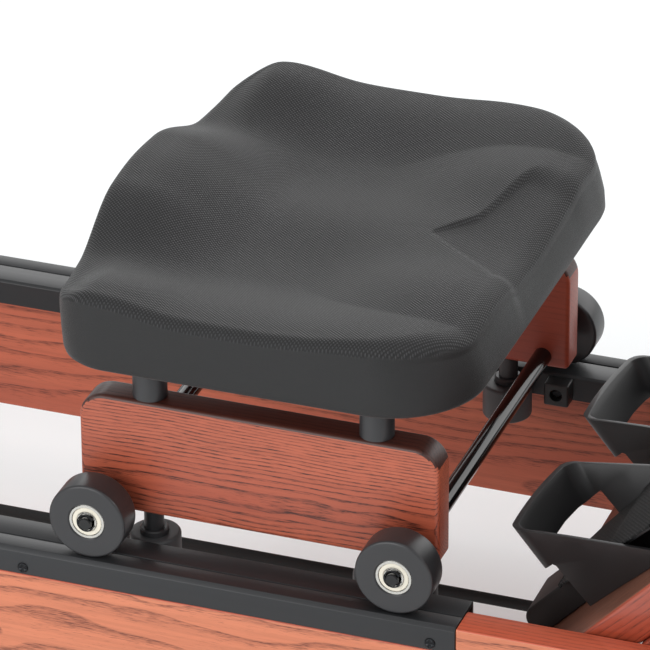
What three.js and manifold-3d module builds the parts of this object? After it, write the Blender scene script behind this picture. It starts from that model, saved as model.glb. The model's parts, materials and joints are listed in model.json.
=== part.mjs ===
// Water-resistance rowing machine: wooden rails with aluminium tracks, a rolling seat carriage,
// a sloping footboard with heel cups, a water tank with a paddle, and a handle on a strap.
// Units are millimetres. X runs forward from the rear foot to the tank, Y to the left, Z up.
// The origin is on the floor, under the middle of the machine.

import * as THREE from "three";
import { mergeVertices } from "three/addons/utils/BufferGeometryUtils.js";
import Module from "manifold-3d";

const wasm = await Module();
wasm.setup();

// ---- Driving dimensions ----

const GAP = 0.3; // clearance between touching pieces
const SIDES = [["left", 1], ["right", -1]];
const ENDS = [["front", 1], ["rear", -1]];

const MACHINE = { rearX: -1030, frontX: 1030, width: 530 };
const RAIL = { outerY: 171.4, thickness: 21.6, bottomZ: 55.3, topZ: 155.4, frontX: 1004 };
const CAP = { innerY: 137, wall: 2.4, plate: 3, skirt: 17, chamfer: 2.4, frontX: 104.5 };
const CAP_GROOVE = { y: 157.1, width: 1.4, depth: 0.8 };

const CARRIAGE = { x: -30, z: 156 }; // the carriage's own origin: mid carriage, at wheel contact
const SIDE_PLATE = {
  halfLength: 112, y: 124.4, thickness: 20.8, bottomZ: 16.1, topZ: 91.7, corner: 16, foot: 3,
};
const WHEEL = { x: 95.5, z: 23.75, radius: 24, innerY: 148.2, outerY: 167.6, round: 2.5, bore: 4.6 };
const AXLE = { radius: 5.8, endRadius: 4, shoulderY: 141, collarRadius: 8 };
const POST = { x: 70.6, radius: 10.3, topZ: 125.2, rod: 4 };
const ROLLER = { y: 121.1, radius: 15.5, topZ: -2.5, bottomZ: -25, pin: 5, bore: 5.4 };
const SEAT_REAR_BOW = 11;
const SEAT = { rearX: -131, frontX: 134, halfWidth: 168, bottomZ: 125.5, skirtZ: 160, rimZ: 176, bowlZ: 160 };
const SEAT_BASE = { halfLength: 105, halfWidth: 146, bottomZ: 126, thickness: 10 };

const STOP = { length: 16, width: 11.7, height: 15.5, clearance: 6.9 };
const SEAT_TRAVEL = 850;

const SLOPE = THREE.MathUtils.degToRad(46.5);
const BOARD = { x: 162, z: 140, halfWidth: 147, thickness: 25.6, low: -60, high: 345 };
const BOARD_SLOT = { halfWidth: 62, low: 225 };
const SLIDE = { y: 69, halfWidth: 19.5, bottom: 0.3, top: 18, low: { left: -20, right: -46 }, high: 215 };
const CUP = { length: 88, rimHeight: 64, rimRear: 11.6, halfWidth: 31, flare: 0.26, lean: 0.127, wall: 3 };
const CUP_OPENING = { depth: 4.5, height: 35 };
const RIM_ANGLE = THREE.MathUtils.degToRad(41.5);
const STRAP = { width: 38, thickness: 2, middle: 175, archHeight: 72 };

const DECK = { rearX: 440, thickness: 18, baseZ: 155.7, topZ: 392 };
const UPRIGHT = { thickness: 20, rearX: 470, frontX: 1014 };
const TANK = { x: 745, radius: 225, flange: 242, wall: 4, bottomZ: 176, seamZ: 262, topZ: 340, mouth: 24 };
const WATER = { inset: 4.4, levelZ: 262, sweep: 165, floorZ: 204 };
const PADDLE = { radius: 150, bottomZ: 212, height: 62, blades: 6, blade: 3, hub: 18 };
const SHAFT = { radius: 8, bottomZ: 208, topZ: 386 };
const SPOOL = { radius: 36, bottomZ: 349, topZ: 373 };
const PULL = { x: 430, z: 361, strap: 20, thickness: 1.5, pulley: 18 };
const HANDLE = { x: 335, halfLength: 232, radius: 14 };
const FOOT = { length: 70, halfWidth: 232, bottomZ: 8, rearX: -1030, frontX: 915, board: 22 };
const PAD = { size: 56, height: 7.7, y: 195 };
const MONITOR = { x: 520, baseZ: 410.3, hingeZ: 488, width: 150, height: 96, depth: 24 };

// ---- Materials ----

const finish = (color, roughness, metalness = 0) =>
  new THREE.MeshStandardMaterial({ color, roughness, metalness });

const MATERIALS = {
  wood: finish(0xa8553a, 0.45),
  darkAluminium: finish(0x4c4d50, 0.4, 0.8),
  blackSteel: finish(0x161617, 0.25, 0.6),
  blackPlastic: finish(0x1f2021, 0.55),
  greyPlastic: finish(0x3a3b3d, 0.6),
  tyre: finish(0x4a4b4c, 0.75),
  foam: finish(0x333436, 0.9),
  rubber: finish(0x202020, 0.85),
  webbing: finish(0x181818, 0.9),
  cord: finish(0x141414, 0.7),
  clear: finish(0xd8e4e8, 0.1),
  water: finish(0x9cc8d8, 0.05),
  screen: finish(0x20262a, 0.2),
};

// ---- Shape helpers ----

function outward(geometry) {
  // Turns every triangle round when the surface encloses a negative volume.
  const position = geometry.attributes.position;
  const index = geometry.index ?? { count: position.count, getX: (i) => i };
  const corner = [new THREE.Vector3(), new THREE.Vector3(), new THREE.Vector3()];
  let volume = 0;
  for (let i = 0; i < index.count; i += 3) {
    corner.forEach((point, k) => point.fromBufferAttribute(position, index.getX(i + k)));
    volume += corner[0].dot(corner[1].cross(corner[2])) / 6;
  }
  if (volume > 0) return geometry;
  const turned = [];
  for (let i = 0; i < index.count; i += 3) {
    turned.push(index.getX(i), index.getX(i + 2), index.getX(i + 1));
  }
  geometry.setIndex(turned);
  return geometry;
}

function toSolid(geometry) {
  const bare = outward(geometry.clone());
  bare.deleteAttribute("normal");
  bare.deleteAttribute("uv");
  const merged = mergeVertices(bare, 1e-4);
  const vertProperties = new Float32Array(merged.attributes.position.array);
  const triVerts = new Uint32Array(merged.index.array);
  return new wasm.Manifold(new wasm.Mesh({ numProp: 3, vertProperties, triVerts }));
}

function toGeometry(solid) {
  const mesh = solid.getMesh();
  const geometry = new THREE.BufferGeometry();
  geometry.setAttribute("position", new THREE.BufferAttribute(mesh.vertProperties, 3));
  geometry.setIndex(new THREE.BufferAttribute(mesh.triVerts, 1));
  geometry.computeVertexNormals();
  return geometry;
}

function join(...geometries) {
  return toGeometry(geometries.map(toSolid).reduce((whole, piece) => whole.add(piece)));
}

function cut(geometry, ...tools) {
  return toGeometry(tools.map(toSolid).reduce((rest, tool) => rest.subtract(tool), toSolid(geometry)));
}

function block(x, y, z) {
  // A box from three [low, high] pairs.
  const size = [x, y, z].map(([low, high]) => high - low);
  const middle = [x, y, z].map(([low, high]) => (low + high) / 2);
  return new THREE.BoxGeometry(...size).translate(...middle);
}

function rod(radius, from, to, segments = 18) {
  const a = new THREE.Vector3(...from);
  const b = new THREE.Vector3(...to);
  const direction = b.clone().sub(a);
  const turn = new THREE.Quaternion().setFromUnitVectors(
    new THREE.Vector3(0, 1, 0), direction.clone().normalize());
  const centre = a.clone().add(b).multiplyScalar(0.5);
  return new THREE.CylinderGeometry(radius, radius, direction.length(), segments)
    .applyQuaternion(turn).translate(centre.x, centre.y, centre.z);
}

function turned(profile, segments = 28) {
  // Revolves [radius, height] points about the vertical axis.
  const points = profile.map(([radius, height]) => new THREE.Vector2(radius, height));
  return outward(new THREE.LatheGeometry(points, segments).rotateX(Math.PI / 2));
}

function roundedOutline(lowU, highU, lowV, highV, radius) {
  const shape = new THREE.Shape();
  shape.moveTo(lowU + radius, lowV);
  shape.absarc(highU - radius, lowV + radius, radius, -Math.PI / 2, 0);
  shape.absarc(highU - radius, highV - radius, radius, 0, Math.PI / 2);
  shape.absarc(lowU + radius, highV - radius, radius, Math.PI / 2, Math.PI);
  shape.absarc(lowU + radius, lowV + radius, radius, Math.PI, 1.5 * Math.PI);
  return shape;
}

function arcPoints(centreU, centreV, radius, quarter, steps = 5) {
  return Array.from({ length: steps + 1 }, (_, i) => {
    const angle = (quarter + i / steps) * (Math.PI / 2);
    return [centreU + radius * Math.cos(angle), centreV + radius * Math.sin(angle)];
  });
}

function outlineFrom(points) {
  return new THREE.Shape(points.map(([u, v]) => new THREE.Vector2(u, v)));
}

function extrude(shape, depth) {
  return new THREE.ExtrudeGeometry(shape, { depth, bevelEnabled: false, curveSegments: 5 });
}

function slabAlongX(shape, low, high) {
  const basis = new THREE.Matrix4().makeBasis(
    new THREE.Vector3(0, 1, 0), new THREE.Vector3(0, 0, 1), new THREE.Vector3(1, 0, 0));
  return extrude(shape, high - low).applyMatrix4(basis).translate(low, 0, 0);
}

function slabAlongY(shape, low, high) {
  return extrude(shape, high - low).rotateX(Math.PI / 2).translate(0, high, 0);
}

function slabAlongZ(shape, low, high) {
  return extrude(shape, high - low).translate(0, 0, low);
}

function ringStack(rings, crown) {
  // Joins closed rings of equal point counts from the bottom up, with a flat foot and a crown point.
  const count = rings[0].length;
  const points = [...rings.flat(), crown];
  const index = [];
  for (let level = 0; level < rings.length - 1; level++) {
    for (let i = 0; i < count; i++) {
      const a = level * count + i;
      const b = level * count + ((i + 1) % count);
      index.push(a, b, b + count, a, b + count, a + count);
    }
  }
  const top = (rings.length - 1) * count;
  const bottom = points.push([crown[0], crown[1], rings[0][0][2]]) - 1;
  for (let i = 0; i < count; i++) {
    const next = (i + 1) % count;
    index.push(top + i, top + next, bottom - 1);
    index.push(next, i, bottom);
  }
  const geometry = new THREE.BufferGeometry();
  geometry.setAttribute("position", new THREE.Float32BufferAttribute(points.flat(), 3));
  geometry.setIndex(index);
  geometry.computeVertexNormals();
  return outward(geometry);
}

const machine = new THREE.Group();
machine.name = "rowing_machine";

function piece(name, geometry, material, parent = machine) {
  const mesh = new THREE.Mesh(geometry, material);
  mesh.name = name;
  parent.add(mesh);
  return mesh;
}

// ---- Rails and tracks ----

function railGeometry(side) {
  const inner = RAIL.outerY - RAIL.thickness;
  const span = (a, b) => (side > 0 ? [a, b] : [-b, -a]);
  const body = block([MACHINE.rearX, RAIL.frontX], span(inner, RAIL.outerY), [RAIL.bottomZ, RAIL.topZ]);
  const cappedX = [MACHINE.rearX - 1, CAP.frontX + GAP];
  const underPlate = RAIL.topZ - CAP.plate - GAP;
  const underSkirt = RAIL.topZ - CAP.skirt - GAP;
  const topRebate = block(cappedX, span(inner - 1, RAIL.outerY + 1), [underPlate, RAIL.topZ + 1]);
  const skirtRebate = block(cappedX, span(RAIL.outerY - CAP.wall - GAP, RAIL.outerY + 1),
    [underSkirt, RAIL.topZ + 1]);
  return cut(body, topRebate, skirtRebate);
}

function capGeometry(side) {
  const top = RAIL.topZ;
  const outer = RAIL.outerY;
  const { innerY, wall, plate, skirt, chamfer } = CAP;
  const groove = [CAP_GROOVE.y + CAP_GROOVE.width / 2, CAP_GROOVE.y - CAP_GROOVE.width / 2];
  const profile = [
    [outer, top - skirt], [outer, top - chamfer], [outer - chamfer, top],
    [groove[0], top], [groove[0], top - CAP_GROOVE.depth],
    [groove[1], top - CAP_GROOVE.depth], [groove[1], top],
    [innerY + 1.5, top], [innerY, top - 1.5], [innerY, top - skirt],
    [innerY + wall, top - skirt], [innerY + wall, top - plate],
    [outer - wall, top - plate], [outer - wall, top - skirt],
  ];
  const shape = outlineFrom(profile.map(([y, z]) => [side * y, z]));
  return outward(slabAlongX(shape, MACHINE.rearX, CAP.frontX));
}

function stopGeometry(side, faceX, direction) {
  // The block's face towards the carriage is at faceX, and the block lies beyond it.
  const x = direction > 0 ? [faceX, faceX + STOP.length] : [faceX - STOP.length, faceX];
  const y = [CAP.innerY - GAP - STOP.width, CAP.innerY - GAP].map((v) => side * v).sort((a, b) => a - b);
  const top = RAIL.topZ - 1;
  return block(x, y, [top - STOP.height, top]);
}

for (const [name, side] of SIDES) {
  piece(`${name}_rail`, railGeometry(side), MATERIALS.wood);
  piece(`${name}_track_cap`, capGeometry(side), MATERIALS.darkAluminium);
  const reach = POST.x + ROLLER.radius + STOP.clearance;
  const frontFace = CARRIAGE.x + reach;
  const rearFace = CARRIAGE.x - SEAT_TRAVEL - reach;
  piece(`front_${name}_stop`, stopGeometry(side, frontFace, 1), MATERIALS.blackPlastic);
  piece(`rear_${name}_stop`, stopGeometry(side, rearFace, -1), MATERIALS.blackPlastic);
}

// ---- Feet ----

function footGeometry(lowX, boardX) {
  // A cross beam under the rails, with a board that ties the rails together.
  const inner = RAIL.outerY - RAIL.thickness - GAP;
  const beam = slabAlongX(roundedOutline(-FOOT.halfWidth, FOOT.halfWidth, FOOT.bottomZ,
    RAIL.bottomZ - GAP, 14), lowX, lowX + FOOT.length);
  const tieZ = [RAIL.bottomZ - 2, RAIL.topZ - CAP.skirt - 2];
  const tie = block([boardX, boardX + FOOT.board], [-inner, inner], tieZ);
  return join(beam, tie);
}

const tieX = { rear: FOOT.rearX, front: FOOT.frontX + FOOT.length - FOOT.board };
piece("rear_foot", footGeometry(FOOT.rearX, tieX.rear), MATERIALS.wood);
piece("front_foot", footGeometry(FOOT.frontX, tieX.front), MATERIALS.wood);
for (const [end, lowX] of [["rear", FOOT.rearX], ["front", FOOT.frontX]]) {
  for (const [name, side] of SIDES) {
    const x = lowX + FOOT.length / 2;
    const outline = roundedOutline(x - PAD.size / 2, x + PAD.size / 2,
      side * PAD.y - PAD.size / 2, side * PAD.y + PAD.size / 2, 8);
    piece(`${end}_${name}_foot_pad`, slabAlongZ(outline, 0, PAD.height), MATERIALS.rubber);
  }
}

// ---- Shock cord between the two tie boards ----

const CORD = { radius: 3.75, z: 70 };
piece("return_cord", rod(CORD.radius, [tieX.rear + FOOT.board + GAP, 0, CORD.z],
  [tieX.front - GAP, 0, CORD.z], 10), MATERIALS.cord);

// ---- Footboard, in a group whose X runs up the slope and whose Z stands off the board ----

const slope = new THREE.Group();
slope.position.set(BOARD.x, 0, BOARD.z);
slope.rotation.y = -SLOPE;
machine.add(slope);

function footboardGeometry() {
  const { halfWidth, thickness, low, high } = BOARD;
  const board = block([low, high], [-halfWidth, halfWidth], [-thickness, 0]);
  const slot = slabAlongZ(roundedOutline(BOARD_SLOT.low, high + 40, -BOARD_SLOT.halfWidth,
    BOARD_SLOT.halfWidth, 18), -thickness - 1, 1);
  return cut(board, slot);
}

const CROSSBAR = { low: 40, high: 70, depth: 30 };
piece("footboard", footboardGeometry(), MATERIALS.wood, slope);
piece("footboard_crossbar", block([CROSSBAR.low, CROSSBAR.high], [-149.4, 149.4],
  [-BOARD.thickness - GAP - CROSSBAR.depth, -BOARD.thickness - GAP]), MATERIALS.wood, slope);

function slideGeometry(low) {
  // A bar with rounded ends, seen from the side, that the heel cup is clamped on.
  const nose = (SLIDE.top - SLIDE.bottom) / 2 - 0.1;
  const outline = roundedOutline(low, SLIDE.high, SLIDE.bottom, SLIDE.top, nose);
  return slabAlongY(outline, -SLIDE.halfWidth, SLIDE.halfWidth);
}

function cupRing(height, inset) {
  // The cup's plan outline at one height above the board.
  const rear = (CUP.rimRear * height) / CUP.rimHeight + inset;
  const front = CUP.length + 12;
  const half = (x) => CUP.halfWidth + CUP.flare * x + CUP.lean * height - inset;
  const corner = 9;
  const side = [];
  for (let i = 0; i <= 4; i++) {
    const angle = (i / 4) * (Math.PI / 2);
    side.push([rear + corner * (1 - Math.sin(angle)), half(rear + corner) - corner * (1 - Math.cos(angle))]);
  }
  const left = [[front, half(front)], ...side];
  const right = [...left].reverse().map(([x, y]) => [x, -y]);
  return [...left, ...right].map(([x, y]) => [x, y, height]);
}

function cupShell(inset, low, high) {
  const rings = [cupRing(low, inset), cupRing(high, inset)];
  return ringStack(rings, [CUP.length / 2, 0, high]);
}

function cupGeometry() {
  const high = CUP.rimHeight + 30;
  const clear = SLIDE.halfWidth + GAP;
  const walls = cut(cupShell(0, GAP, high), cupShell(CUP.wall, GAP - 20, high + 5));
  const bridge = block([62, CUP.length - 1], [-49, 49], [SLIDE.top + GAP, SLIDE.top + 3.3]);
  const overRim = block([-80, 260], [-120, 120], [0, 160])
    .rotateY(RIM_ANGLE).translate(CUP.rimRear, 0, CUP.rimHeight);
  const inFront = block([CUP.length, CUP.length + 60], [-90, 90], [-10, 120]);
  const { depth, height } = CUP_OPENING;
  const lean = CUP.rimRear / CUP.rimHeight;
  const behind = outlineFrom([
    [-30, -10], [depth - 10 * lean, -10], [depth + height * lean, height], [-30, height],
  ]);
  const opening = slabAlongY(behind, -90, 90);
  const channel = block([-60, 200], [-clear, clear], [-10, SLIDE.top + GAP]);
  return cut(join(walls, bridge), overRim, inFront, opening, channel);
}

function strapGeometry() {
  // A webbing arch over the foot, fastened to both sides of the slide bar.
  const inner = SLIDE.halfWidth + GAP;
  const outer = inner + STRAP.thickness;
  const arch = new THREE.Shape();
  const spread = 50;
  arch.moveTo(inner, 4);
  arch.lineTo(outer, 4);
  arch.bezierCurveTo(spread + 6, 20, spread, STRAP.archHeight + 2, 0, STRAP.archHeight + 2);
  arch.bezierCurveTo(-spread, STRAP.archHeight + 2, -spread - 6, 20, -outer, 4);
  arch.lineTo(-inner, 4);
  arch.bezierCurveTo(-spread - 4, 22, -spread + 2, STRAP.archHeight, 0, STRAP.archHeight);
  arch.bezierCurveTo(spread - 2, STRAP.archHeight, spread + 4, 22, inner, 4);
  return slabAlongX(arch, STRAP.middle - STRAP.width / 2, STRAP.middle + STRAP.width / 2);
}

for (const [name, side] of SIDES) {
  const foot = new THREE.Group();
  foot.position.y = side * SLIDE.y;
  slope.add(foot);
  piece(`${name}_slide_bar`, slideGeometry(SLIDE.low[name]), MATERIALS.blackPlastic, foot);
  piece(`${name}_heel_cup`, cupGeometry(), MATERIALS.blackPlastic, foot);
  piece(`${name}_foot_strap`, strapGeometry(), MATERIALS.webbing, foot);
}

// ---- Tank frame ----

const deckSpan = MACHINE.width / 2;
const strapHole = block([UPRIGHT.rearX - 5, UPRIGHT.rearX + 30], [-18, 26], [PULL.z - 16, PULL.z + 16]);
const uprightZ = [DECK.baseZ + DECK.thickness + GAP, DECK.topZ - GAP];
const uprightBlock = (x) => block([x, x + UPRIGHT.thickness], [-deckSpan, deckSpan], uprightZ);
piece("base_deck", slabAlongZ(roundedOutline(DECK.rearX + 30, MACHINE.frontX, -deckSpan, deckSpan, 30),
  DECK.baseZ, DECK.baseZ + DECK.thickness), MATERIALS.wood);
piece("top_deck", slabAlongZ(roundedOutline(DECK.rearX - 50, MACHINE.frontX, -deckSpan, deckSpan, 30),
  DECK.topZ, DECK.topZ + DECK.thickness), MATERIALS.wood);
piece("rear_upright", cut(uprightBlock(UPRIGHT.rearX), strapHole), MATERIALS.wood);
piece("front_upright", uprightBlock(UPRIGHT.frontX - UPRIGHT.thickness), MATERIALS.wood);

// ---- Water tank, about its own vertical axis ----

const tank = new THREE.Group();
tank.position.x = TANK.x;
machine.add(tank);

const tankSegments = 32;
const { radius: tankR, wall: tankWall } = TANK;
const gasketHalf = 1.2;
piece("tank_lower_shell", turned([
  [0, TANK.bottomZ], [tankR - 40, TANK.bottomZ], [tankR - 12, TANK.bottomZ + 12], [tankR, TANK.bottomZ + 40],
  [tankR, TANK.seamZ - 8], [TANK.flange, TANK.seamZ - 8], [TANK.flange, TANK.seamZ - gasketHalf - GAP],
  [tankR - tankWall, TANK.seamZ - gasketHalf - GAP], [tankR - tankWall, TANK.bottomZ + 40],
  [tankR - 15, TANK.bottomZ + 15], [tankR - 42, TANK.bottomZ + tankWall], [0, TANK.bottomZ + tankWall],
], tankSegments), MATERIALS.clear, tank);
piece("tank_gasket", turned([
  [tankR - tankWall, TANK.seamZ - gasketHalf], [TANK.flange, TANK.seamZ - gasketHalf],
  [TANK.flange, TANK.seamZ + gasketHalf], [tankR - tankWall, TANK.seamZ + gasketHalf],
  [tankR - tankWall, TANK.seamZ - gasketHalf],
], tankSegments), MATERIALS.rubber, tank);
const upperProfile = [
  [tankR - tankWall, TANK.seamZ + gasketHalf + GAP], [TANK.flange, TANK.seamZ + gasketHalf + GAP],
  [TANK.flange, TANK.seamZ + 8], [tankR, TANK.seamZ + 8], [tankR, TANK.topZ - 40],
  [tankR - 12, TANK.topZ - 12], [tankR - 40, TANK.topZ], [TANK.mouth, TANK.topZ],
  [TANK.mouth, TANK.topZ - tankWall], [tankR - 42, TANK.topZ - tankWall],
  [tankR - 15, TANK.topZ - 15], [tankR - tankWall, TANK.topZ - 40],
];
piece("tank_upper_shell", turned([...upperProfile, upperProfile[0]], tankSegments), MATERIALS.clear, tank);

const wet = tankR - WATER.inset;
const wetFloor = TANK.bottomZ + WATER.inset;
piece("tank_water", turned([
  [0, wetFloor], [tankR - 42, wetFloor], [tankR - 16, wetFloor + 11.5], [wet, wetFloor + 36],
  [wet, WATER.levelZ - 8], [WATER.sweep, WATER.levelZ - 8], [WATER.sweep, WATER.floorZ], [0, WATER.floorZ],
], tankSegments), MATERIALS.water, tank);

function paddleGeometry() {
  const top = PADDLE.bottomZ + PADDLE.height;
  const parts = [rod(PADDLE.hub, [0, 0, PADDLE.bottomZ], [0, 0, top])];
  for (let i = 0; i < PADDLE.blades; i++) {
    const blade = block([0, PADDLE.radius], [-PADDLE.blade / 2, PADDLE.blade / 2], [PADDLE.bottomZ, top]);
    parts.push(blade.rotateZ((i / PADDLE.blades) * 2 * Math.PI));
  }
  const bore = rod(SHAFT.radius + GAP, [0, 0, PADDLE.bottomZ - 1], [0, 0, top + 1]);
  return cut(join(...parts), bore);
}

function ringGeometry(bore, outer, low, high, segments = 28) {
  return turned([[bore, low], [outer, low], [outer, high], [bore, high], [bore, low]], segments);
}

piece("paddle", paddleGeometry(), MATERIALS.greyPlastic, tank);
piece("paddle_shaft", rod(SHAFT.radius, [0, 0, SHAFT.bottomZ], [0, 0, SHAFT.topZ]),
  MATERIALS.blackSteel, tank);
piece("shaft_bearing", ringGeometry(SHAFT.radius + 0.5, 44, TANK.topZ + GAP, SPOOL.bottomZ - 1),
  MATERIALS.blackPlastic, tank);

function spoolGeometry() {
  const { radius, bottomZ, topZ } = SPOOL;
  const flange = radius + 9;
  const profile = [
    [SHAFT.radius + GAP, bottomZ], [flange, bottomZ], [flange, bottomZ + 1.7], [radius, bottomZ + 1.7],
    [radius, topZ - 1.7], [flange, topZ - 1.7], [flange, topZ], [SHAFT.radius + GAP, topZ],
  ];
  return turned([...profile, profile[0]]);
}
piece("drive_spool", spoolGeometry(), MATERIALS.blackPlastic, tank);

// ---- Pull strap, guide pulley, handle rest and handle ----

const PULLEY_Y = PULL.pulley + PULL.thickness / 2 + GAP;
function pullStrapGeometry() {
  const half = PULL.thickness / 2;
  const spoolY = SPOOL.radius + GAP + half;
  const route = [[HANDLE.x + 18, 0], [PULL.x, 0], [TANK.x, spoolY]];
  const near = route.map(([x, y]) => [x, y - half]);
  const far = [...route].reverse().map(([x, y]) => [x, y + half]);
  const outline = [...near, ...far];
  return slabAlongZ(outlineFrom(outline), PULL.z - PULL.strap / 2, PULL.z + PULL.strap / 2);
}
piece("pull_strap", pullStrapGeometry(), MATERIALS.webbing);

const pulley = new THREE.Group();
pulley.position.set(PULL.x, PULLEY_Y, PULL.z);
machine.add(pulley);
piece("guide_pulley", ringGeometry(4.4, PULL.pulley, -11.5, 11.5), MATERIALS.greyPlastic, pulley);

function handleRestGeometry() {
  // A shelf behind the footboard that carries the guide pulley and, in front of it, the handle.
  const wallX = UPRIGHT.rearX - GAP;
  const shelfTop = PULL.z - HANDLE.radius - GAP;
  const shelf = slabAlongZ(roundedOutline(HANDLE.x - 18, wallX, -50, 50, 10), shelfTop - 6, shelfTop);
  const cover = slabAlongZ(roundedOutline(PULL.x - 24, wallX, -30, 44, 8), PULL.z + 13, PULL.z + 18);
  const back = cut(block([wallX - 6, wallX], [-50, 50], [shelfTop - 20, PULL.z + 18]),
    block([wallX - 8, wallX + 2], [-18, 26], [PULL.z - 12, PULL.z + 12]));
  const pin = rod(4, [PULL.x, PULLEY_Y, shelfTop - 3], [PULL.x, PULLEY_Y, PULL.z + 16], 20);
  return join(shelf, cover, back, pin);
}
piece("handle_rest", handleRestGeometry(), MATERIALS.blackPlastic);

function handleGeometry() {
  const bar = rod(HANDLE.radius, [0, -HANDLE.halfLength, 0], [0, HANDLE.halfLength, 0], 20);
  const hub = slabAlongZ(roundedOutline(-15, 17.6, -22, 22, 6), -13.6, 13.6);
  return join(bar, hub);
}
const handle = new THREE.Group();
handle.position.set(HANDLE.x, 0, PULL.z);
machine.add(handle);
piece("handle", handleGeometry(), MATERIALS.blackPlastic, handle);

// ---- Monitor on its stalk ----

const ears = { outer: 15, inner: 8.4, radius: 9 };
function monitorBracketGeometry() {
  const base = slabAlongZ(roundedOutline(-24, 24, -26, 26, 8), 0, 6);
  const rise = MONITOR.hingeZ - MONITOR.baseZ;
  const stalk = block([-7, 7], [-ears.outer, ears.outer], [5, rise]);
  const knuckle = rod(ears.radius, [0, -ears.outer, rise], [0, ears.outer, rise], 20);
  const notch = block([-20, 20], [-ears.inner, ears.inner], [rise - 14, rise + 20]);
  const pin = rod(3, [0, -ears.outer + 1, rise], [0, ears.outer - 1, rise], 16);
  return join(cut(join(base, stalk, knuckle), notch), pin);
}
const monitor = new THREE.Group();
monitor.position.set(MONITOR.x, 0, MONITOR.baseZ);
machine.add(monitor);
piece("monitor_bracket", monitorBracketGeometry(), MATERIALS.blackPlastic, monitor);

const BUTTON = { radius: 8, depth: 5, z: 16, proud: 2.2, travel: 1.5 };
const head = new THREE.Group();
head.position.z = MONITOR.hingeZ - MONITOR.baseZ;
monitor.add(head);
function monitorGeometry() {
  const { width, height, depth } = MONITOR;
  const lift = 14;
  const faceX = -depth / 2 - 4;
  const outline = roundedOutline(-width / 2, width / 2, lift, lift + height, 12);
  const body = slabAlongX(outline, faceX, faceX + depth);
  const lug = join(rod(ears.radius, [0, -8, 0], [0, 8, 0], 20), block([-6, 6], [-8, 8], [0, lift + 6]));
  const pocket = rod(BUTTON.radius + 0.4, [faceX - 1, 0, lift + BUTTON.z],
    [faceX + BUTTON.depth + BUTTON.travel, 0, lift + BUTTON.z]);
  return cut(join(body, lug), rod(3 + GAP, [0, -20, 0], [0, 20, 0], 16), pocket);
}
piece("monitor", monitorGeometry(), MATERIALS.screen, head);
const faceX = -MONITOR.depth / 2 - 4;
piece("monitor_button", rod(BUTTON.radius, [faceX - BUTTON.proud, 0, 14 + BUTTON.z],
  [faceX + BUTTON.depth - BUTTON.travel, 0, 14 + BUTTON.z]), MATERIALS.greyPlastic, head);

// ---- Seat carriage ----

const carriage = new THREE.Group();
carriage.position.set(CARRIAGE.x, 0, CARRIAGE.z);
machine.add(carriage);

function sidePlateGeometry(side) {
  const { halfLength, y, thickness, bottomZ, topZ, corner, foot } = SIDE_PLATE;
  const outline = [
    ...arcPoints(halfLength - corner, topZ - corner, corner, 0),
    ...arcPoints(corner - halfLength, topZ - corner, corner, 1),
    ...arcPoints(foot - halfLength, bottomZ + foot, foot, 2),
    ...arcPoints(halfLength - foot, bottomZ + foot, foot, 3),
  ];
  const plate = slabAlongY(outlineFrom(outline), side * y - thickness / 2, side * y + thickness / 2);
  const bores = [];
  for (const [, end] of ENDS) {
    bores.push(rod(AXLE.radius + GAP, [end * WHEEL.x, -200, WHEEL.z], [end * WHEEL.x, 200, WHEEL.z]));
    bores.push(rod(POST.rod + GAP, [end * POST.x, side * y, 0], [end * POST.x, side * y, 120]));
  }
  return cut(plate, ...bores);
}

function axleGeometry() {
  // A rod right across the carriage, with collars that space the wheels off the side plates.
  const plateY = SIDE_PLATE.y + SIDE_PLATE.thickness / 2 + GAP;
  const along = (radius, from, to) => rod(radius, [0, from, 0], [0, to, 0]);
  const parts = [along(AXLE.radius, -AXLE.shoulderY, AXLE.shoulderY)];
  for (const [, side] of SIDES) {
    parts.push(along(AXLE.endRadius, side * (AXLE.shoulderY - 5), side * (WHEEL.outerY + 3)));
    parts.push(along(AXLE.collarRadius, side * plateY, side * (WHEEL.innerY - GAP)));
  }
  return join(...parts);
}

function wheelGeometry() {
  const half = (WHEEL.outerY - WHEEL.innerY) / 2;
  const { radius, round, bore } = WHEEL;
  const profile = [[bore, -half], [radius - round, -half]];
  for (let i = 1; i <= 2; i++) {
    const angle = (i / 2) * (Math.PI / 2);
    profile.push([radius - round + round * Math.sin(angle), -half + round - round * Math.cos(angle)]);
  }
  const mirrored = [...profile].reverse().map(([r, y]) => [r, -y]);
  const loop = [...profile, ...mirrored];
  return turned([...loop, loop[0]], 28).rotateX(Math.PI / 2);
}

function postGeometry(side) {
  // A spacer post above the side plate, a bolt through it and the guide roller's pin below.
  const { y, topZ, bottomZ } = SIDE_PLATE;
  const upright = (radius, atY, low, high) => rod(radius, [0, side * atY, low], [0, side * atY, high]);
  return join(
    upright(POST.radius, y, topZ + GAP, POST.topZ),
    upright(POST.rod, y, bottomZ - 3, topZ + 2),
    upright(8.5, (y + ROLLER.y) / 2, ROLLER.topZ + GAP, ROLLER.topZ + 4),
    upright(6, (y + ROLLER.y) / 2, ROLLER.topZ + 3, bottomZ - GAP),
    upright(ROLLER.pin, ROLLER.y, ROLLER.bottomZ - 3, ROLLER.topZ + 2),
  );
}

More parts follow.
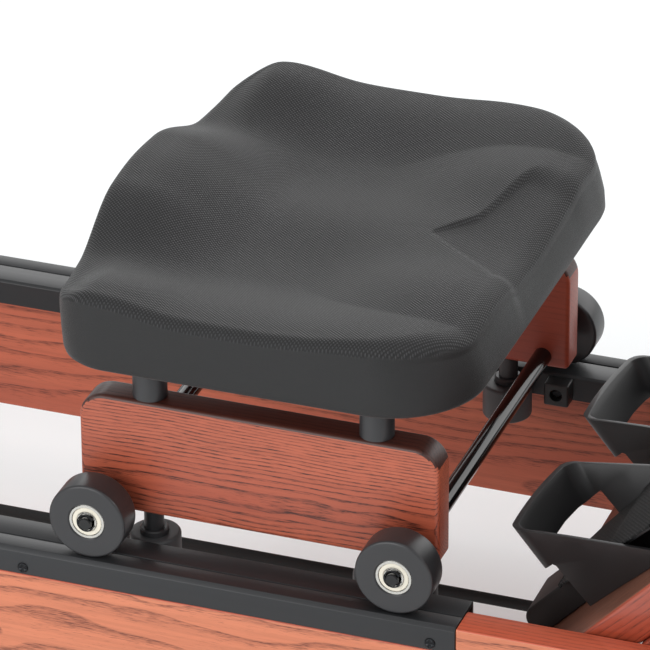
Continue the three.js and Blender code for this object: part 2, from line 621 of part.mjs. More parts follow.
function seatRing(inset, z) {
  const rearCorner = 36;
  const frontCorner = 58;
  const points = [];
  const rearX = SEAT.rearX + SEAT_REAR_BOW;
  const corners = [
    [SEAT.frontX, 1, frontCorner, 0], [rearX, 1, rearCorner, 1],
    [rearX, -1, rearCorner, 2], [SEAT.frontX, -1, frontCorner, 3],
  ];
  for (const [edgeX, side, radius, quarter] of corners) {
    const centreX = edgeX - Math.sign(edgeX) * radius;
    const centreY = side * (SEAT.halfWidth - radius);
    for (let i = 0; i <= 6; i++) {
      const angle = (quarter + i / 6) * (Math.PI / 2);
      const reach = radius - Math.min(inset, radius - 4);
      const shrink = 1 - Math.max(0, inset - radius + 4) / 140;
      const x = centreX + reach * Math.cos(angle);
      const y = centreY + reach * Math.sin(angle);
      points.push([x * shrink, y * shrink, z]);
    }
    if (quarter === 1) points.push([SEAT.rearX + inset, 0, z]);
  }
  return points;
}

function seatGeometry() {
  const { bottomZ, skirtZ, rimZ, bowlZ } = SEAT;
  const rings = [
    seatRing(2, bottomZ), seatRing(0, bottomZ + 3), seatRing(0, skirtZ), seatRing(3, skirtZ + 7),
    seatRing(12, rimZ), seatRing(30, rimZ - 2), seatRing(80, bowlZ + 3),
  ];
  const pan = block([-SEAT_BASE.halfLength - GAP, SEAT_BASE.halfLength + GAP],
    [-SEAT_BASE.halfWidth - GAP, SEAT_BASE.halfWidth + GAP],
    [bottomZ - 5, SEAT_BASE.bottomZ + SEAT_BASE.thickness + GAP]);
  return cut(ringStack(rings, [0, 0, bowlZ]), pan);
}

for (const [name, side] of SIDES) {
  piece(`${name}_side_plate`, sidePlateGeometry(side), MATERIALS.wood, carriage);
}
piece("seat_base", slabAlongZ(roundedOutline(-SEAT_BASE.halfLength, SEAT_BASE.halfLength,
  -SEAT_BASE.halfWidth, SEAT_BASE.halfWidth, 20), SEAT_BASE.bottomZ,
SEAT_BASE.bottomZ + SEAT_BASE.thickness), MATERIALS.wood, carriage);
piece("seat_cushion", seatGeometry(), MATERIALS.foam, carriage);
for (const [end, forward] of ENDS) {
  const axle = new THREE.Group();
  axle.position.set(forward * WHEEL.x, 0, WHEEL.z);
  carriage.add(axle);
  piece(`${end}_axle`, axleGeometry(), MATERIALS.blackSteel, axle);
  for (const [name, side] of SIDES) {
    const hub = new THREE.Group();
    hub.position.y = side * (WHEEL.innerY + WHEEL.outerY) / 2;
    axle.add(hub);
    piece(`${end}_${name}_wheel`, wheelGeometry(), MATERIALS.tyre, hub);

    const post = new THREE.Group();
    post.position.x = forward * POST.x;
    carriage.add(post);
    piece(`${end}_${name}_post`, postGeometry(side), MATERIALS.blackPlastic, post);

    const roller = new THREE.Group();
    roller.position.y = side * ROLLER.y;
    post.add(roller);
    piece(`${end}_${name}_guide_roller`, ringGeometry(ROLLER.bore, ROLLER.radius, ROLLER.bottomZ,
      ROLLER.topZ, 24), MATERIALS.greyPlastic, roller);
  }
}

export default machine;
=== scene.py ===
"""Looks for the rowing machine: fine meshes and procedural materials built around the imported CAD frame."""

import json
import math

import bmesh
import bpy
from mathutils import Matrix, Vector


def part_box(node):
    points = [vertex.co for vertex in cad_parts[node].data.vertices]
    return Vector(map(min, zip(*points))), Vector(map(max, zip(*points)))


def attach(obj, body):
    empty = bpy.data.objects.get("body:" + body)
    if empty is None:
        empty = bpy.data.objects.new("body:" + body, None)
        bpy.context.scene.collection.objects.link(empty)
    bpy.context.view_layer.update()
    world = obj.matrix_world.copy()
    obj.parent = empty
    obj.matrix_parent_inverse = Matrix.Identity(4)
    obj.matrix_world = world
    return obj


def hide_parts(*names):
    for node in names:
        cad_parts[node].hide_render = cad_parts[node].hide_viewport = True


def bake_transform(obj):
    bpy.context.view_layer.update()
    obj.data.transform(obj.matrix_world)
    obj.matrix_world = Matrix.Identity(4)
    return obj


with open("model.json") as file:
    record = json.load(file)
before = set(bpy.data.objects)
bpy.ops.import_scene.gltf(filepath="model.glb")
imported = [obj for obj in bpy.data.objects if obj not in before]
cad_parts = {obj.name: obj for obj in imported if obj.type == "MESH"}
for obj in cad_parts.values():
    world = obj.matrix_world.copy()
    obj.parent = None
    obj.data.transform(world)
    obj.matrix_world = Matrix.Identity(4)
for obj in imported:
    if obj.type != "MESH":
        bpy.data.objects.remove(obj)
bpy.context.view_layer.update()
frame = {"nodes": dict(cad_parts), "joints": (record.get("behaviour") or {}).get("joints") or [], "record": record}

MM = 0.001
SIDES = (("left", 1), ("right", -1))
ENDS = ("front", "rear")

# ---- Places taken from the frame ----


def box_centre(node):
    low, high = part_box(node)
    return (low + high) / 2


def half_size(node):
    """Half of a node's size along x, y and z, in mm."""
    low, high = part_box(node)
    return [c / 2 / MM for c in high - low]


def heights(node):
    """The heights of a node's bottom and top, in mm."""
    return [c.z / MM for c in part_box(node)]


plate_low, plate_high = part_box("left_side_plate")
PLATE_LIFT = 16.1 * MM
CARRIAGE = Vector(((plate_low.x + plate_high.x) / 2, 0, plate_low.z - PLATE_LIFT))

slope_axis = Vector([j for j in frame["joints"] if j["name"] == "left_cup_slide"][0]["axis"])
slope_normal = Vector((-slope_axis.z, 0, slope_axis.x))
board_low, board_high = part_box("footboard")
BOARD_LENGTH, BOARD_TAIL = 405 * MM, 60 * MM
board_foot = Vector((board_low.x, 0, board_high.z - BOARD_LENGTH * slope_axis.z))
SLOPE_ORIGIN = board_foot + slope_axis * BOARD_TAIL


def on_carriage(x, y, z):
    """A point given in mm from the carriage's own origin."""
    return CARRIAGE + Vector((x, y, z)) * MM


def on_slope(along, across, off):
    """A point given in mm up the footboard, across it and off its face."""
    return SLOPE_ORIGIN + slope_axis * along * MM + Vector((0, across * MM, 0)) + slope_normal * off * MM


# ---- Mesh helpers ----


def smoothstep(t):
    t = min(max(t, 0.0), 1.0)
    return t * t * (3 - 2 * t)


def link(name, mesh):
    piece = bpy.data.objects.new(name, mesh)
    bpy.context.scene.collection.objects.link(piece)
    return piece


def mesh_piece(name, points, faces):
    mesh = bpy.data.meshes.new(name)
    mesh.from_pydata([tuple(p) for p in points], [], faces)
    mesh.update()
    return link(name, mesh)


def from_bmesh(name, bm):
    bmesh.ops.recalc_face_normals(bm, faces=bm.faces)
    mesh = bpy.data.meshes.new(name)
    bm.to_mesh(mesh)
    bm.free()
    return link(name, mesh)


def faced_out(piece):
    """Turns a closed mesh's faces outward."""
    bm = bmesh.new()
    bm.from_mesh(piece.data)
    bmesh.ops.recalc_face_normals(bm, faces=bm.faces)
    bm.to_mesh(piece.data)
    bm.free()
    return piece


def apply_modifiers(piece):
    depsgraph = bpy.context.evaluated_depsgraph_get()
    mesh = bpy.data.meshes.new_from_object(piece.evaluated_get(depsgraph))
    piece.modifiers.clear()
    old = piece.data
    piece.data = mesh
    bpy.data.meshes.remove(old)


def shade(piece, angle=35):
    """Smooth shading, with edges sharper than the angle kept crisp."""
    mesh = piece.data
    mesh.shade_smooth()
    bm = bmesh.new()
    bm.from_mesh(mesh)
    limit = math.radians(angle)
    for edge in bm.edges:
        edge.smooth = len(edge.link_faces) != 2 or edge.calc_face_angle(0) < limit
    bm.to_mesh(mesh)
    bm.free()


def rounded(piece, width, segments, angle=30):
    """Rounds every edge sharper than the angle."""
    modifier = piece.modifiers.new("round", "BEVEL")
    modifier.width = width * MM
    modifier.segments = segments
    modifier.limit_method = "ANGLE"
    modifier.angle_limit = math.radians(angle)
    modifier.use_clamp_overlap = True
    apply_modifiers(piece)
    shade(piece)


def from_node(name, node, width, segments=3):
    """A copy of a CAD node's mesh with its flat faces merged and its edges rounded."""
    bm = bmesh.new()
    bm.from_mesh(frame["nodes"][node].data)
    bmesh.ops.remove_doubles(bm, verts=bm.verts, dist=2e-6)
    bmesh.ops.dissolve_limit(bm, angle_limit=math.radians(1), verts=bm.verts, edges=bm.edges)
    piece = from_bmesh(name, bm)
    rounded(piece, width, segments)
    return piece


def ring_faces(levels, count):
    faces = []
    for level in range(levels - 1):
        for i in range(count):
            a = level * count + i
            b = level * count + (i + 1) % count
            faces.append((a, b, b + count, a + count))
    return faces


def loft(name, rows):
    """A mesh through rows of points in metres, with a face over each end."""
    count = len(rows[0])
    points = [p for row in rows for p in row]
    faces = ring_faces(len(rows), count)
    faces += [tuple(range(count)), tuple(range(len(points) - count, len(points)))]
    return mesh_piece(name, points, faces)


def revolve(name, profile, centre, axis, segments, crisp=35):
    """Revolves (radius, height) points in mm about an axis; the profile closes on itself or on the axis."""
    bm = bmesh.new()
    turn = {"Z": Matrix.Identity(3), "Y": Matrix(((1, 0, 0), (0, 0, 1), (0, -1, 0))),
            "X": Matrix(((0, 0, 1), (0, 1, 0), (-1, 0, 0)))}[axis]
    rings = []
    for radius, height in profile:
        if radius < 1e-6:
            rings.append([bm.verts.new(centre + turn @ Vector((0, 0, height)) * MM)])
            continue
        ring = []
        for i in range(segments):
            angle = 2 * math.pi * i / segments
            local = Vector((radius * math.cos(angle), radius * math.sin(angle), height))
            ring.append(bm.verts.new(centre + turn @ local * MM))
        rings.append(ring)
    pairs = list(zip(rings, rings[1:]))
    if len(rings[0]) > 1:
        pairs.append((rings[-1], rings[0]))
    for lower, upper in pairs:
        for i in range(segments):
            j = (i + 1) % segments
            corners = [row[k % len(row)] for row, k in ((lower, i), (lower, j), (upper, j), (upper, i))]
            unique = list(dict.fromkeys(corners))
            if len(unique) > 2:
                bm.faces.new(unique)
    piece = from_bmesh(name, bm)
    shade(piece, crisp)
    return piece


def sided(profile, side):
    """A profile with its heights turned to one side."""
    return [(r, h * side) for r, h in profile]


def arc(cx, cy, radius, start, end, steps=5):
    """Points of an arc, angles in degrees."""
    turn = [math.radians(start + (end - start) * i / steps) for i in range(steps + 1)]
    return [(cx + radius * math.cos(a), cy + radius * math.sin(a)) for a in turn]


def block(low_u, high_u, low_v, high_v):
    return [(low_u, low_v), (high_u, low_v), (high_u, high_v), (low_u, high_v)]


def rounded_rectangle(low_u, high_u, low_v, high_v, foot, top, steps=(8, 8)):
    """A rectangle with its lower corners rounded by foot and its upper ones by top."""
    return (arc(high_u - foot, low_v + foot, foot, -90, 0, steps[0])
            + arc(high_u - top, high_v - top, top, 0, 90, steps[1])
            + arc(low_u + top, high_v - top, top, 90, 180, steps[1])
            + arc(low_u + foot, low_v + foot, foot, 180, 270, steps[0]))


def rounded_rim(radius, half, edge, steps):
    """The outside of a wheel's profile, with both edges rounded."""
    return (arc(radius - edge, -half + edge, edge, -90, 0, steps)
            + arc(radius - edge, half - edge, edge, 0, 90, steps))


def square_to(line, i):
    """The direction square to an open line at one of its points."""
    run = (line[min(i + 1, len(line) - 1)] - line[max(i - 1, 0)]).normalized()
    return Vector((-run.y, run.x))


def slab(name, outline, low, high, place, edge=0, segments=3):
    """Extrudes an outline in mm between low and high; place(u, v, w) gives the point in metres."""
    bm = bmesh.new()
    bottom = [bm.verts.new(place(u, v, low)) for u, v in outline]
    top = [bm.verts.new(place(u, v, high)) for u, v in outline]
    count = len(outline)
    bm.faces.new(bottom)
    bm.faces.new(top)
    for i in range(count):
        j = (i + 1) % count
        bm.faces.new((bottom[i], bottom[j], top[j], top[i]))
    bmesh.ops.remove_doubles(bm, verts=bm.verts, dist=1e-6)
    piece = from_bmesh(name, bm)
    if edge:
        rounded(piece, edge, segments, 40)
    else:
        shade(piece)
    return piece


def discard(piece):
    mesh = piece.data
    bpy.data.objects.remove(piece)
    bpy.data.meshes.remove(mesh)


def joined(name, *pieces):
    """Joins loose pieces into one object."""
    bm = bmesh.new()
    for piece in pieces:
        bm.from_mesh(piece.data)
        discard(piece)
    mesh = bpy.data.meshes.new(name)
    bm.to_mesh(mesh)
    bm.free()
    return link(name, mesh)


def cut_away(piece, cutters):
    """Cuts the pieces listed away from a piece and removes them."""
    for cutter in cutters:
        modifier = piece.modifiers.new("cut", "BOOLEAN")
        modifier.operation = "DIFFERENCE"
        modifier.solver = "EXACT"
        modifier.object = cutter
    apply_modifiers(piece)
    for cutter in cutters:
        discard(cutter)


def lathed(name, profile, centre, axis, segments, material, body, slot, *nodes):
    """Revolves a profile and dresses the result."""
    dress(revolve(name, profile, centre, axis, segments), material, body, slot, *nodes)


def dress(piece, material, body, slot, *nodes):
    """Gives a piece its material and body, and hides the CAD nodes that it stands for; slot is not used."""
    piece.data.materials.clear()
    piece.data.materials.append(M[material])
    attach(piece, body)
    if nodes:
        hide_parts(*nodes)


# ---- Material helpers ----


def linear(red, green, blue):
    """A display colour of 0 to 255 as the linear colour that shaders use."""
    channels = []
    for value in (red, green, blue):
        share = value / 255
        channels.append(share / 12.92 if share <= 0.04045 else ((share + 0.055) / 1.055) ** 2.4)
    return (*channels, 1.0)


def toned(colour, factor):
    """A linear colour made darker or lighter, kept within 1."""
    return [min(1, c * factor) for c in colour[:3]] + [1]


class Nodes:
    """A small wrapper for writing a material's node tree."""

    def __init__(self, name, **sockets):
        self.material = bpy.data.materials.new(name)
        self.material.use_nodes = True
        self.tree = self.material.node_tree
        self.shader = self.tree.nodes["Principled BSDF"]
        for key, value in sockets.items():
            self.shader.inputs[key.replace("_", " ")].default_value = value

    def add(self, kind, inputs=None, **settings):
        node = self.tree.nodes.new("ShaderNode" + kind)
        for key, value in settings.items():
            setattr(node, key, value)
        for key, value in (inputs or {}).items():
            self.feed(node.inputs[key], value)
        return node

    def feed(self, socket, value):
        """Links an output to a socket, or sets the socket to a value."""
        if isinstance(value, bpy.types.NodeSocket):
            self.tree.links.new(value, socket)
        else:
            socket.default_value = value

    def place(self, scale=(1, 1, 1), location=(0, 0, 0), rotation=(0, 0, 0)):
        """Object coordinates, moved, turned and then stretched."""
        source = self.add("TexCoord").outputs["Object"]
        turned = self.add("Mapping", {"Vector": source, "Location": location,
                                      "Rotation": [math.radians(a) for a in rotation]})
        return self.add("Mapping", {"Vector": turned.outputs[0], "Scale": scale}).outputs[0]

    def noise(self, vector, scale, detail, roughness):
        inputs = {"Vector": vector, "Scale": scale, "Detail": detail, "Roughness": roughness}
        return self.add("TexNoise", inputs).outputs["Fac"]

    def levels(self, factor, low, high, to_low=0.0, to_high=1.0):
        inputs = {"Value": factor, "From Min": low, "From Max": high, "To Min": to_low, "To Max": to_high}
        return self.add("MapRange", inputs).outputs["Result"]

    def math(self, operation, a, b=0.0):
        node = self.add("Math", operation=operation)
        for socket, value in zip(node.inputs, (a, b)):
            self.feed(socket, value)
        return node.outputs[0]

    def mix(self, factor, a, b):
        node = self.add("Mix", data_type="RGBA")
        for index, value in ((0, factor), (6, a), (7, b)):
            self.feed(node.inputs[index], value)
        return node.outputs[2]

    def crossings(self, vector, angles, pitch, floor=0.0):
        """Raised dots where two sets of soft stripes cross, at two angles about Z and a pitch in mm."""
        bands = []
        for angle in angles:
            turn = (0, 0, math.radians(angle))
            flat = self.add("Mapping", {"Vector": vector, "Rotation": turn}).outputs[0]
            band = self.add("TexWave", {"Vector": flat, "Scale": 2 * math.pi / (20 * pitch * MM)},
                            wave_type="BANDS", bands_direction="X", wave_profile="SIN")
            bands.append(self.levels(band.outputs["Fac"], 0, 1, floor, 1.0))
        return self.math("MULTIPLY", *bands)

    def bump(self, height, strength, distance):
        inputs = {"Height": height, "Strength": strength, "Distance": distance * MM}
        node = self.add("Bump", inputs)
        self.tree.links.new(node.outputs[0], self.shader.inputs["Normal"])

    def colour(self, socket):
        self.tree.links.new(socket, self.shader.inputs["Base Color"])

    def rough(self, factor, low, high):
        result = self.levels(factor, 0, 1, low, high)
        self.tree.links.new(result, self.shader.inputs["Roughness"])


def wood(name, tones, heart, turn=(0, 0, 0), ring=5.0, sway=6.0, stretch=4.0, gloss=0.42, coat=0.08,
         mark=1.0):
    """Lacquered open-grained wood. Grain runs along the turned X axis, heart is the middle of the log in
    metres, ring the spacing of the growth rings and sway how far they wander, in mm; a larger stretch
    makes them wander more often along the grain. A lower mark makes the grain fainter."""
    light, middle, dark = tones
    n = Nodes(name, Roughness=gloss, Coat_Weight=coat, Coat_Roughness=0.2)
    back = [-h for h in heart]
    drift = n.add("TexNoise", {"Vector": n.place((stretch, 15, 15), back, turn), "Scale": 1.0, "Detail": 3.0,
                               "Roughness": 0.55}).outputs["Color"]
    drift = n.add("VectorMath", {0: drift, 1: (0.5, 0.5, 0.5)}, operation="SUBTRACT").outputs[0]
    reach = (0, 3 * sway * MM, 3 * sway * MM)
    drift = n.add("VectorMath", {0: drift, 1: reach}, operation="MULTIPLY").outputs[0]
    flat = n.place((0.02, 1, 1), back, turn)
    across = n.add("VectorMath", {0: flat, 1: drift}, operation="ADD").outputs[0]
    radius = n.add("VectorMath", {0: across}, operation="LENGTH").outputs["Value"]
    age = n.math("FRACT", n.math("DIVIDE", radius, ring * MM))
    dash = n.noise(n.place((95, 1500, 1500), back, turn), 1.0, 3, 0.7)
    streak = n.noise(n.place((9, 330, 330), back, turn), 1.0, 3, 0.6)
    ragged = n.math("ADD", age, n.math("MULTIPLY", n.math("SUBTRACT", dash, 0.5), 0.9))
    line = n.math("MULTIPLY", n.levels(ragged, 0.56, 1.0), n.levels(age, 1.0, 0.94))
    line = n.math("MULTIPLY", line, n.levels(dash, 0.34, 0.6, 0.3, 1.0))
    fleck = n.math("MULTIPLY", n.levels(dash, 0.57, 0.68), n.levels(age, 0.0, 0.8, 0.2, 0.9))
    broad = n.noise(n.place((1.6, 20, 20), back, turn), 1.0, 2, 0.5)
    body = n.mix(n.levels(broad, 0.32, 0.68), light, middle)
    body = n.mix(n.levels(streak, 0.4, 0.8, 0.0, 0.28), body, dark)
    ringed = n.mix(n.math("MULTIPLY", line, 0.95 * mark), body, dark)
    n.colour(n.mix(n.math("MULTIPLY", fleck, 0.62 * mark), ringed, toned(dark, 0.7)))
    n.rough(dash, gloss - 0.06, gloss + 0.12)
    height = n.math("SUBTRACT", n.math("MULTIPLY", streak, 0.2), n.math("MAXIMUM", line, fleck))
    n.bump(height, 0.3, 0.08)
    return n.material


def moulded(name, colour, roughness, grain=900.0, depth=0.05, strength=0.4, metallic=0.0):
    """Moulded or painted surface with a fine grain and slight unevenness in gloss."""
    n = Nodes(name, Metallic=metallic, Roughness=roughness)
    fine = n.noise(n.place(), grain, 3, 0.6)
    cloud = n.noise(n.place(), 9.0, 3, 0.6)
    n.colour(n.mix(n.levels(cloud, 0.3, 0.7), toned(colour, 0.88), toned(colour, 1.12)))
    n.rough(n.math("MULTIPLY", fine, cloud), roughness - 0.05, roughness + 0.2)
    n.bump(fine, strength, depth)
    return n.material


def anodised(name, colour, roughness, metallic):
    """Extruded aluminium with long faint draw lines along X."""
    n = Nodes(name, Metallic=metallic, Roughness=roughness)
    lines = n.noise(n.place((4, 1800, 1800)), 1.0, 3, 0.6)
    smear = n.noise(n.place((3, 25, 25)), 1.0, 3, 0.5)
    n.colour(n.mix(n.levels(smear, 0.3, 0.7), toned(colour, 0.82), toned(colour, 1.15)))
    n.rough(n.math("MULTIPLY", lines, smear), roughness - 0.06, roughness + 0.25)
    n.bump(lines, 0.25, 0.02)
    return n.material


def seat_skin(name):
    """Moulded foam skin: a fine diagonal lattice of raised dots on top, painted lighter than the hollows between
    them as painted highlight and shade, and a plain fine grain on the skirt.
    """
    n = Nodes(name, Roughness=0.55, Sheen_Weight=0.12, Sheen_Roughness=0.4)
    top = n.add("Attribute", attribute_name="embossed").outputs["Fac"]
    dots = n.crossings(n.place(), (38, -52), pitch=1.6, floor=0.12)
    grain = n.noise(n.place(), 1400.0, 3, 0.65)
    cloud = n.noise(n.place(), 7.0, 3, 0.55)
    # Painted highlight and shade: the raised dots are painted lighter than the hollows between them.
    embossed = n.mix(n.levels(dots, 0.1, 0.75), linear(8, 8, 9), linear(42, 42, 44))
    skirt = n.mix(n.levels(grain, 0.38, 0.64), linear(6, 6, 7), linear(17, 17, 18))
    mixed = n.mix(top, skirt, embossed)
    n.colour(n.mix(n.levels(cloud, 0.3, 0.7, 0.0, 0.2), mixed, linear(26, 26, 28)))
    hollow = n.math("MULTIPLY", top, n.levels(dots, 1.0, 0.2))
    n.rough(n.math("MAXIMUM", grain, hollow), 0.4, 0.75)
    pores = n.math("MULTIPLY", grain, n.levels(top, 0, 1, 0.5, 0.15))
    n.bump(n.math("ADD", n.math("MULTIPLY", dots, top), pores), 0.9, 0.45)
    return n.material


def webbing(name, along=(0, 0, 0), pitch=1.9):
    """Woven nylon: raised crossings in diagonal rows, painted lighter than the dips between them as painted
    highlight and shade, with a little fuzz. Along turns the band's plane.
    """
    n = Nodes(name, Roughness=0.8)
    weave = n.crossings(n.place(rotation=along), (35, -35), pitch)
    fuzz = n.noise(n.place(), 1200.0, 2, 0.6)
    # Painted highlight and shade: the raised crossings are painted lighter than the dips between them.
    n.colour(n.mix(n.levels(weave, 0.42, 0.9), linear(4, 4, 5), linear(52, 53, 53)))
    n.rough(fuzz, 0.7, 0.95)
    n.bump(n.math("ADD", weave, n.math("MULTIPLY", fuzz, 0.3)), 0.7, 0.4)
    return n.material


def steel(name, colour, roughness):
    n = Nodes(name, Metallic=1.0, Roughness=roughness)
    swirl = n.noise(n.place(), 1100.0, 2, 0.5)
    n.colour(n.mix(swirl, toned(colour, 0.85), colour))
    n.rough(swirl, roughness - 0.05, roughness + 0.12)
    n.bump(swirl, 0.1, 0.01)
    return n.material


def clear(name, colour, roughness, ior, density):
    """A clear shell: mostly transparent, with gloss on its surface and a little haze."""
    n = Nodes(name, Roughness=roughness, IOR=ior)
    n.shader.inputs["Alpha"].default_value = density
    haze = n.noise(n.place(), 14.0, 3, 0.5)
    n.colour(n.mix(n.levels(haze, 0.3, 0.7), colour, toned(colour, 0.94)))
    n.rough(haze, roughness, roughness + 0.05)
    return n.material


PALE_OAK = (linear(208, 126, 92), linear(196, 112, 78), linear(104, 50, 34))
RED_OAK = (linear(186, 96, 68), linear(163, 76, 52), linear(62, 24, 17))
FAR_OAK = (linear(202, 108, 78), linear(180, 88, 62), linear(74, 30, 21))
DEEP_OAK = (linear(168, 74, 50), linear(150, 62, 42), linear(84, 34, 24))
# Painted shade: a darker oak for the side plates' upward faces, which lie in the seat's shade.
SEAT_SHADE_OAK = (linear(76, 40, 31), linear(64, 33, 26), linear(32, 15, 11))
# Painted light: a separate, redder oak for the rails' upward faces, for how the light falls on them.
RAIL_TOP_LIGHT_OAK = (linear(206, 98, 68), linear(190, 84, 56), linear(112, 44, 30))
# Painted reflection: a greyer oak for the footboard's sloping face, standing in for the white that its gloss
# reflects.
REFLECTION_GREY_OAK = (linear(134, 90, 72), linear(104, 64, 49), linear(52, 27, 20))
ACROSS = (0, 0, 90)
UP_SLOPE = (0, math.degrees(math.atan2(slope_axis.z, slope_axis.x)), 0)

M = {
    "near_rail": wood("wood_right_rail", PALE_OAK, (0.1, -0.116, 0.08), ring=8.0, sway=16.0, stretch=4.5),
    "far_rail": wood("wood_left_rail", FAR_OAK, (0.3, 0.107, 0.062), ring=5.5, sway=8.0, stretch=4.0,
                     mark=0.8),
    "rail_top": wood("wood_rail_top_painted_light", RAIL_TOP_LIGHT_OAK, (0.1, 0.0, 0.3), ring=2.6, sway=3.0, stretch=3.0,
                     mark=0.6),
    "near_plate": wood("wood_right_plate", RED_OAK, (0.1, -0.112, 0.196), ring=1.8, sway=3.0, stretch=6.0,
                       mark=1.2),
    "far_plate": wood("wood_left_plate", DEEP_OAK, (0.1, 0.08, 0.16), ring=3.0, sway=3.5, mark=0.3),
    # The side plates' upward faces: painted shade from the seat.
    "plate_top": wood("wood_plate_top_painted_shade", SEAT_SHADE_OAK, (0.1, 0.0, 0.1), ring=2.3, sway=2.0),
    "deck": wood("wood_deck", RED_OAK, (0.2, 0.04, 0.35), ring=5.0, sway=7.0, stretch=2.5),
    "front_upright": wood("wood_front_upright", RED_OAK, (0.0, 0.955, 0.27), ACROSS, sway=6.0, stretch=3.0),
    "rear_upright": wood("wood_rear_upright", RED_OAK, (0.0, 0.53, 0.27), ACROSS, sway=6.0, stretch=3.0),
    "front_cross": wood("wood_front_cross", RED_OAK, (0.1, 0.85, 0.05), ACROSS, ring=4.4, sway=5.0),
    "rear_cross": wood("wood_rear_cross", RED_OAK, (0.1, -1.075, 0.05), ACROSS, ring=4.4, sway=5.0),
    "tie": wood("wood_tie", DEEP_OAK, (0.1, 0.02, 0.11), ACROSS, ring=4.0, sway=4.0),
    "board": wood("wood_footboard", DEEP_OAK, (0.0, 0.02, 0.03), UP_SLOPE, ring=1.5, sway=2.4, stretch=5.0,
                  gloss=0.3, coat=0.5, mark=0.7),
    "board_top": wood("wood_footboard_top_painted_reflection", REFLECTION_GREY_OAK, (0.0, 0.02, 0.03), UP_SLOPE, ring=2.6, sway=2.4,
                      stretch=5.0, gloss=0.36, coat=0.3),
    "track": anodised("black_anodised_track", linear(40, 41, 43), 0.36, 0.2),
    "cup": moulded("heel_cup_plastic", linear(35, 35, 36), 0.38, 900.0, 0.04, 0.25),
    "post": moulded("post_plastic", linear(48, 48, 50), 0.4, 700.0, 0.05),
    "plastic": moulded("black_moulded_plastic", linear(30, 30, 31), 0.42, 700.0, 0.06),
    "slide": moulded("slide_bar_plastic", linear(17, 17, 18), 0.6, 700.0, 0.05),
    "grey": moulded("grey_moulded_plastic", linear(70, 71, 73), 0.5, 800.0, 0.05),
    "gloss": moulded("gloss_black_steel", linear(9, 9, 10), 0.12, 300.0, 0.02, 0.1),
    "tyre": moulded("polyurethane_tyre", linear(43, 43, 45), 0.34, 1200.0, 0.05),
    "rubber": moulded("rubber", linear(34, 34, 35), 0.8, 600.0, 0.08),
    "grip": moulded("foam_grip", linear(40, 40, 42), 0.85, 1500.0, 0.15, 0.7),
    "seat": seat_skin("seat_skin"),
    "web": webbing("strap_webbing"),
    "web_slope": webbing("foot_strap_webbing", (0, 46.5, 0)),
    "cord": moulded("cord_sheath", linear(20, 20, 21), 0.7, 900.0, 0.1),
    "bright": steel("bearing_race", linear(206, 204, 198), 0.24),
    "shield": moulded("bearing_shield", linear(226, 220, 204), 0.35, 500.0, 0.02, 0.2, 0.2),
    "clip": steel("dark_clip", linear(52, 53, 55), 0.32),
    "screw": steel("black_screw", linear(48, 49, 51), 0.36),
    "shell": clear("clear_polycarbonate", linear(232, 242, 246), 0.04, 1.58, 0.1),
    "water": clear("tank_water", linear(96, 170, 204), 0.03, 1.33, 0.3),
    "display": moulded("display_glass", linear(24, 30, 33), 0.08, 200.0, 0.01, 0.05),
}

# ---- Seat cushion ----

SEAT_FRONT, SEAT_REAR, SEAT_HALF = 134.0, -131.0, 168.0
SEAT_BOTTOM, SEAT_RECESS = 125.7, 136.8
ROLL, ROLL_DROP, SKIRT_LEAN = (8.0, 6.0), (6.5, 5.5), 7.0
# The skirt from the roll down: the share of its height, and how far it stands in from the outline.
SKIRT_PROFILE = ((0.02, 0.0), (0.12, -0.1), (0.3, 0.1), (0.6, 0.6), (0.88, 1.3), (0.96, 2.2), (1.0, 4.2))
RECESS_INSET = 15.0
SEAT_POINTS, TOP_RINGS, ROLL_RINGS = 320, 84, 10
NOTCH_TIP, NOTCH_MIDDLE = 63.0, -2.0


def resample(outline, count):
    """Evenly spaced points round a closed outline."""
    loop = [Vector(p) for p in outline]
    loop.append(loop[0])
    lengths = [0.0]
    for before, after in zip(loop, loop[1:]):
        lengths.append(lengths[-1] + (after - before).length)
    points, k = [], 0
    for i in range(count):
        distance = lengths[-1] * i / count
        while lengths[k + 1] < distance:
            k += 1
        share = (distance - lengths[k]) / max(lengths[k + 1] - lengths[k], 1e-9)
        points.append(loop[k].lerp(loop[k + 1], share))
    return points


def seat_outline():
    """The plan outline: rounder front corners and a rear edge that bows out in the middle."""
    front, rear, bow = 58.0, 36.0, 11.0
    corner = SEAT_REAR + bow
    points = arc(SEAT_FRONT - front, SEAT_HALF - front, front, 0, 90, 20)
    points += arc(corner + rear, SEAT_HALF - rear, rear, 90, 172, 16)
    reach = SEAT_HALF - rear
    for i in range(1, 24):
        y = reach * (1 - i / 12)
        points.append((SEAT_REAR + bow * (y / reach) ** 2, y))
    points += arc(corner + rear, rear - SEAT_HALF, rear, 188, 270, 16)
    points += arc(SEAT_FRONT - front, front - SEAT_HALF, front, 270, 360, 20)
    return resample(points, SEAT_POINTS)


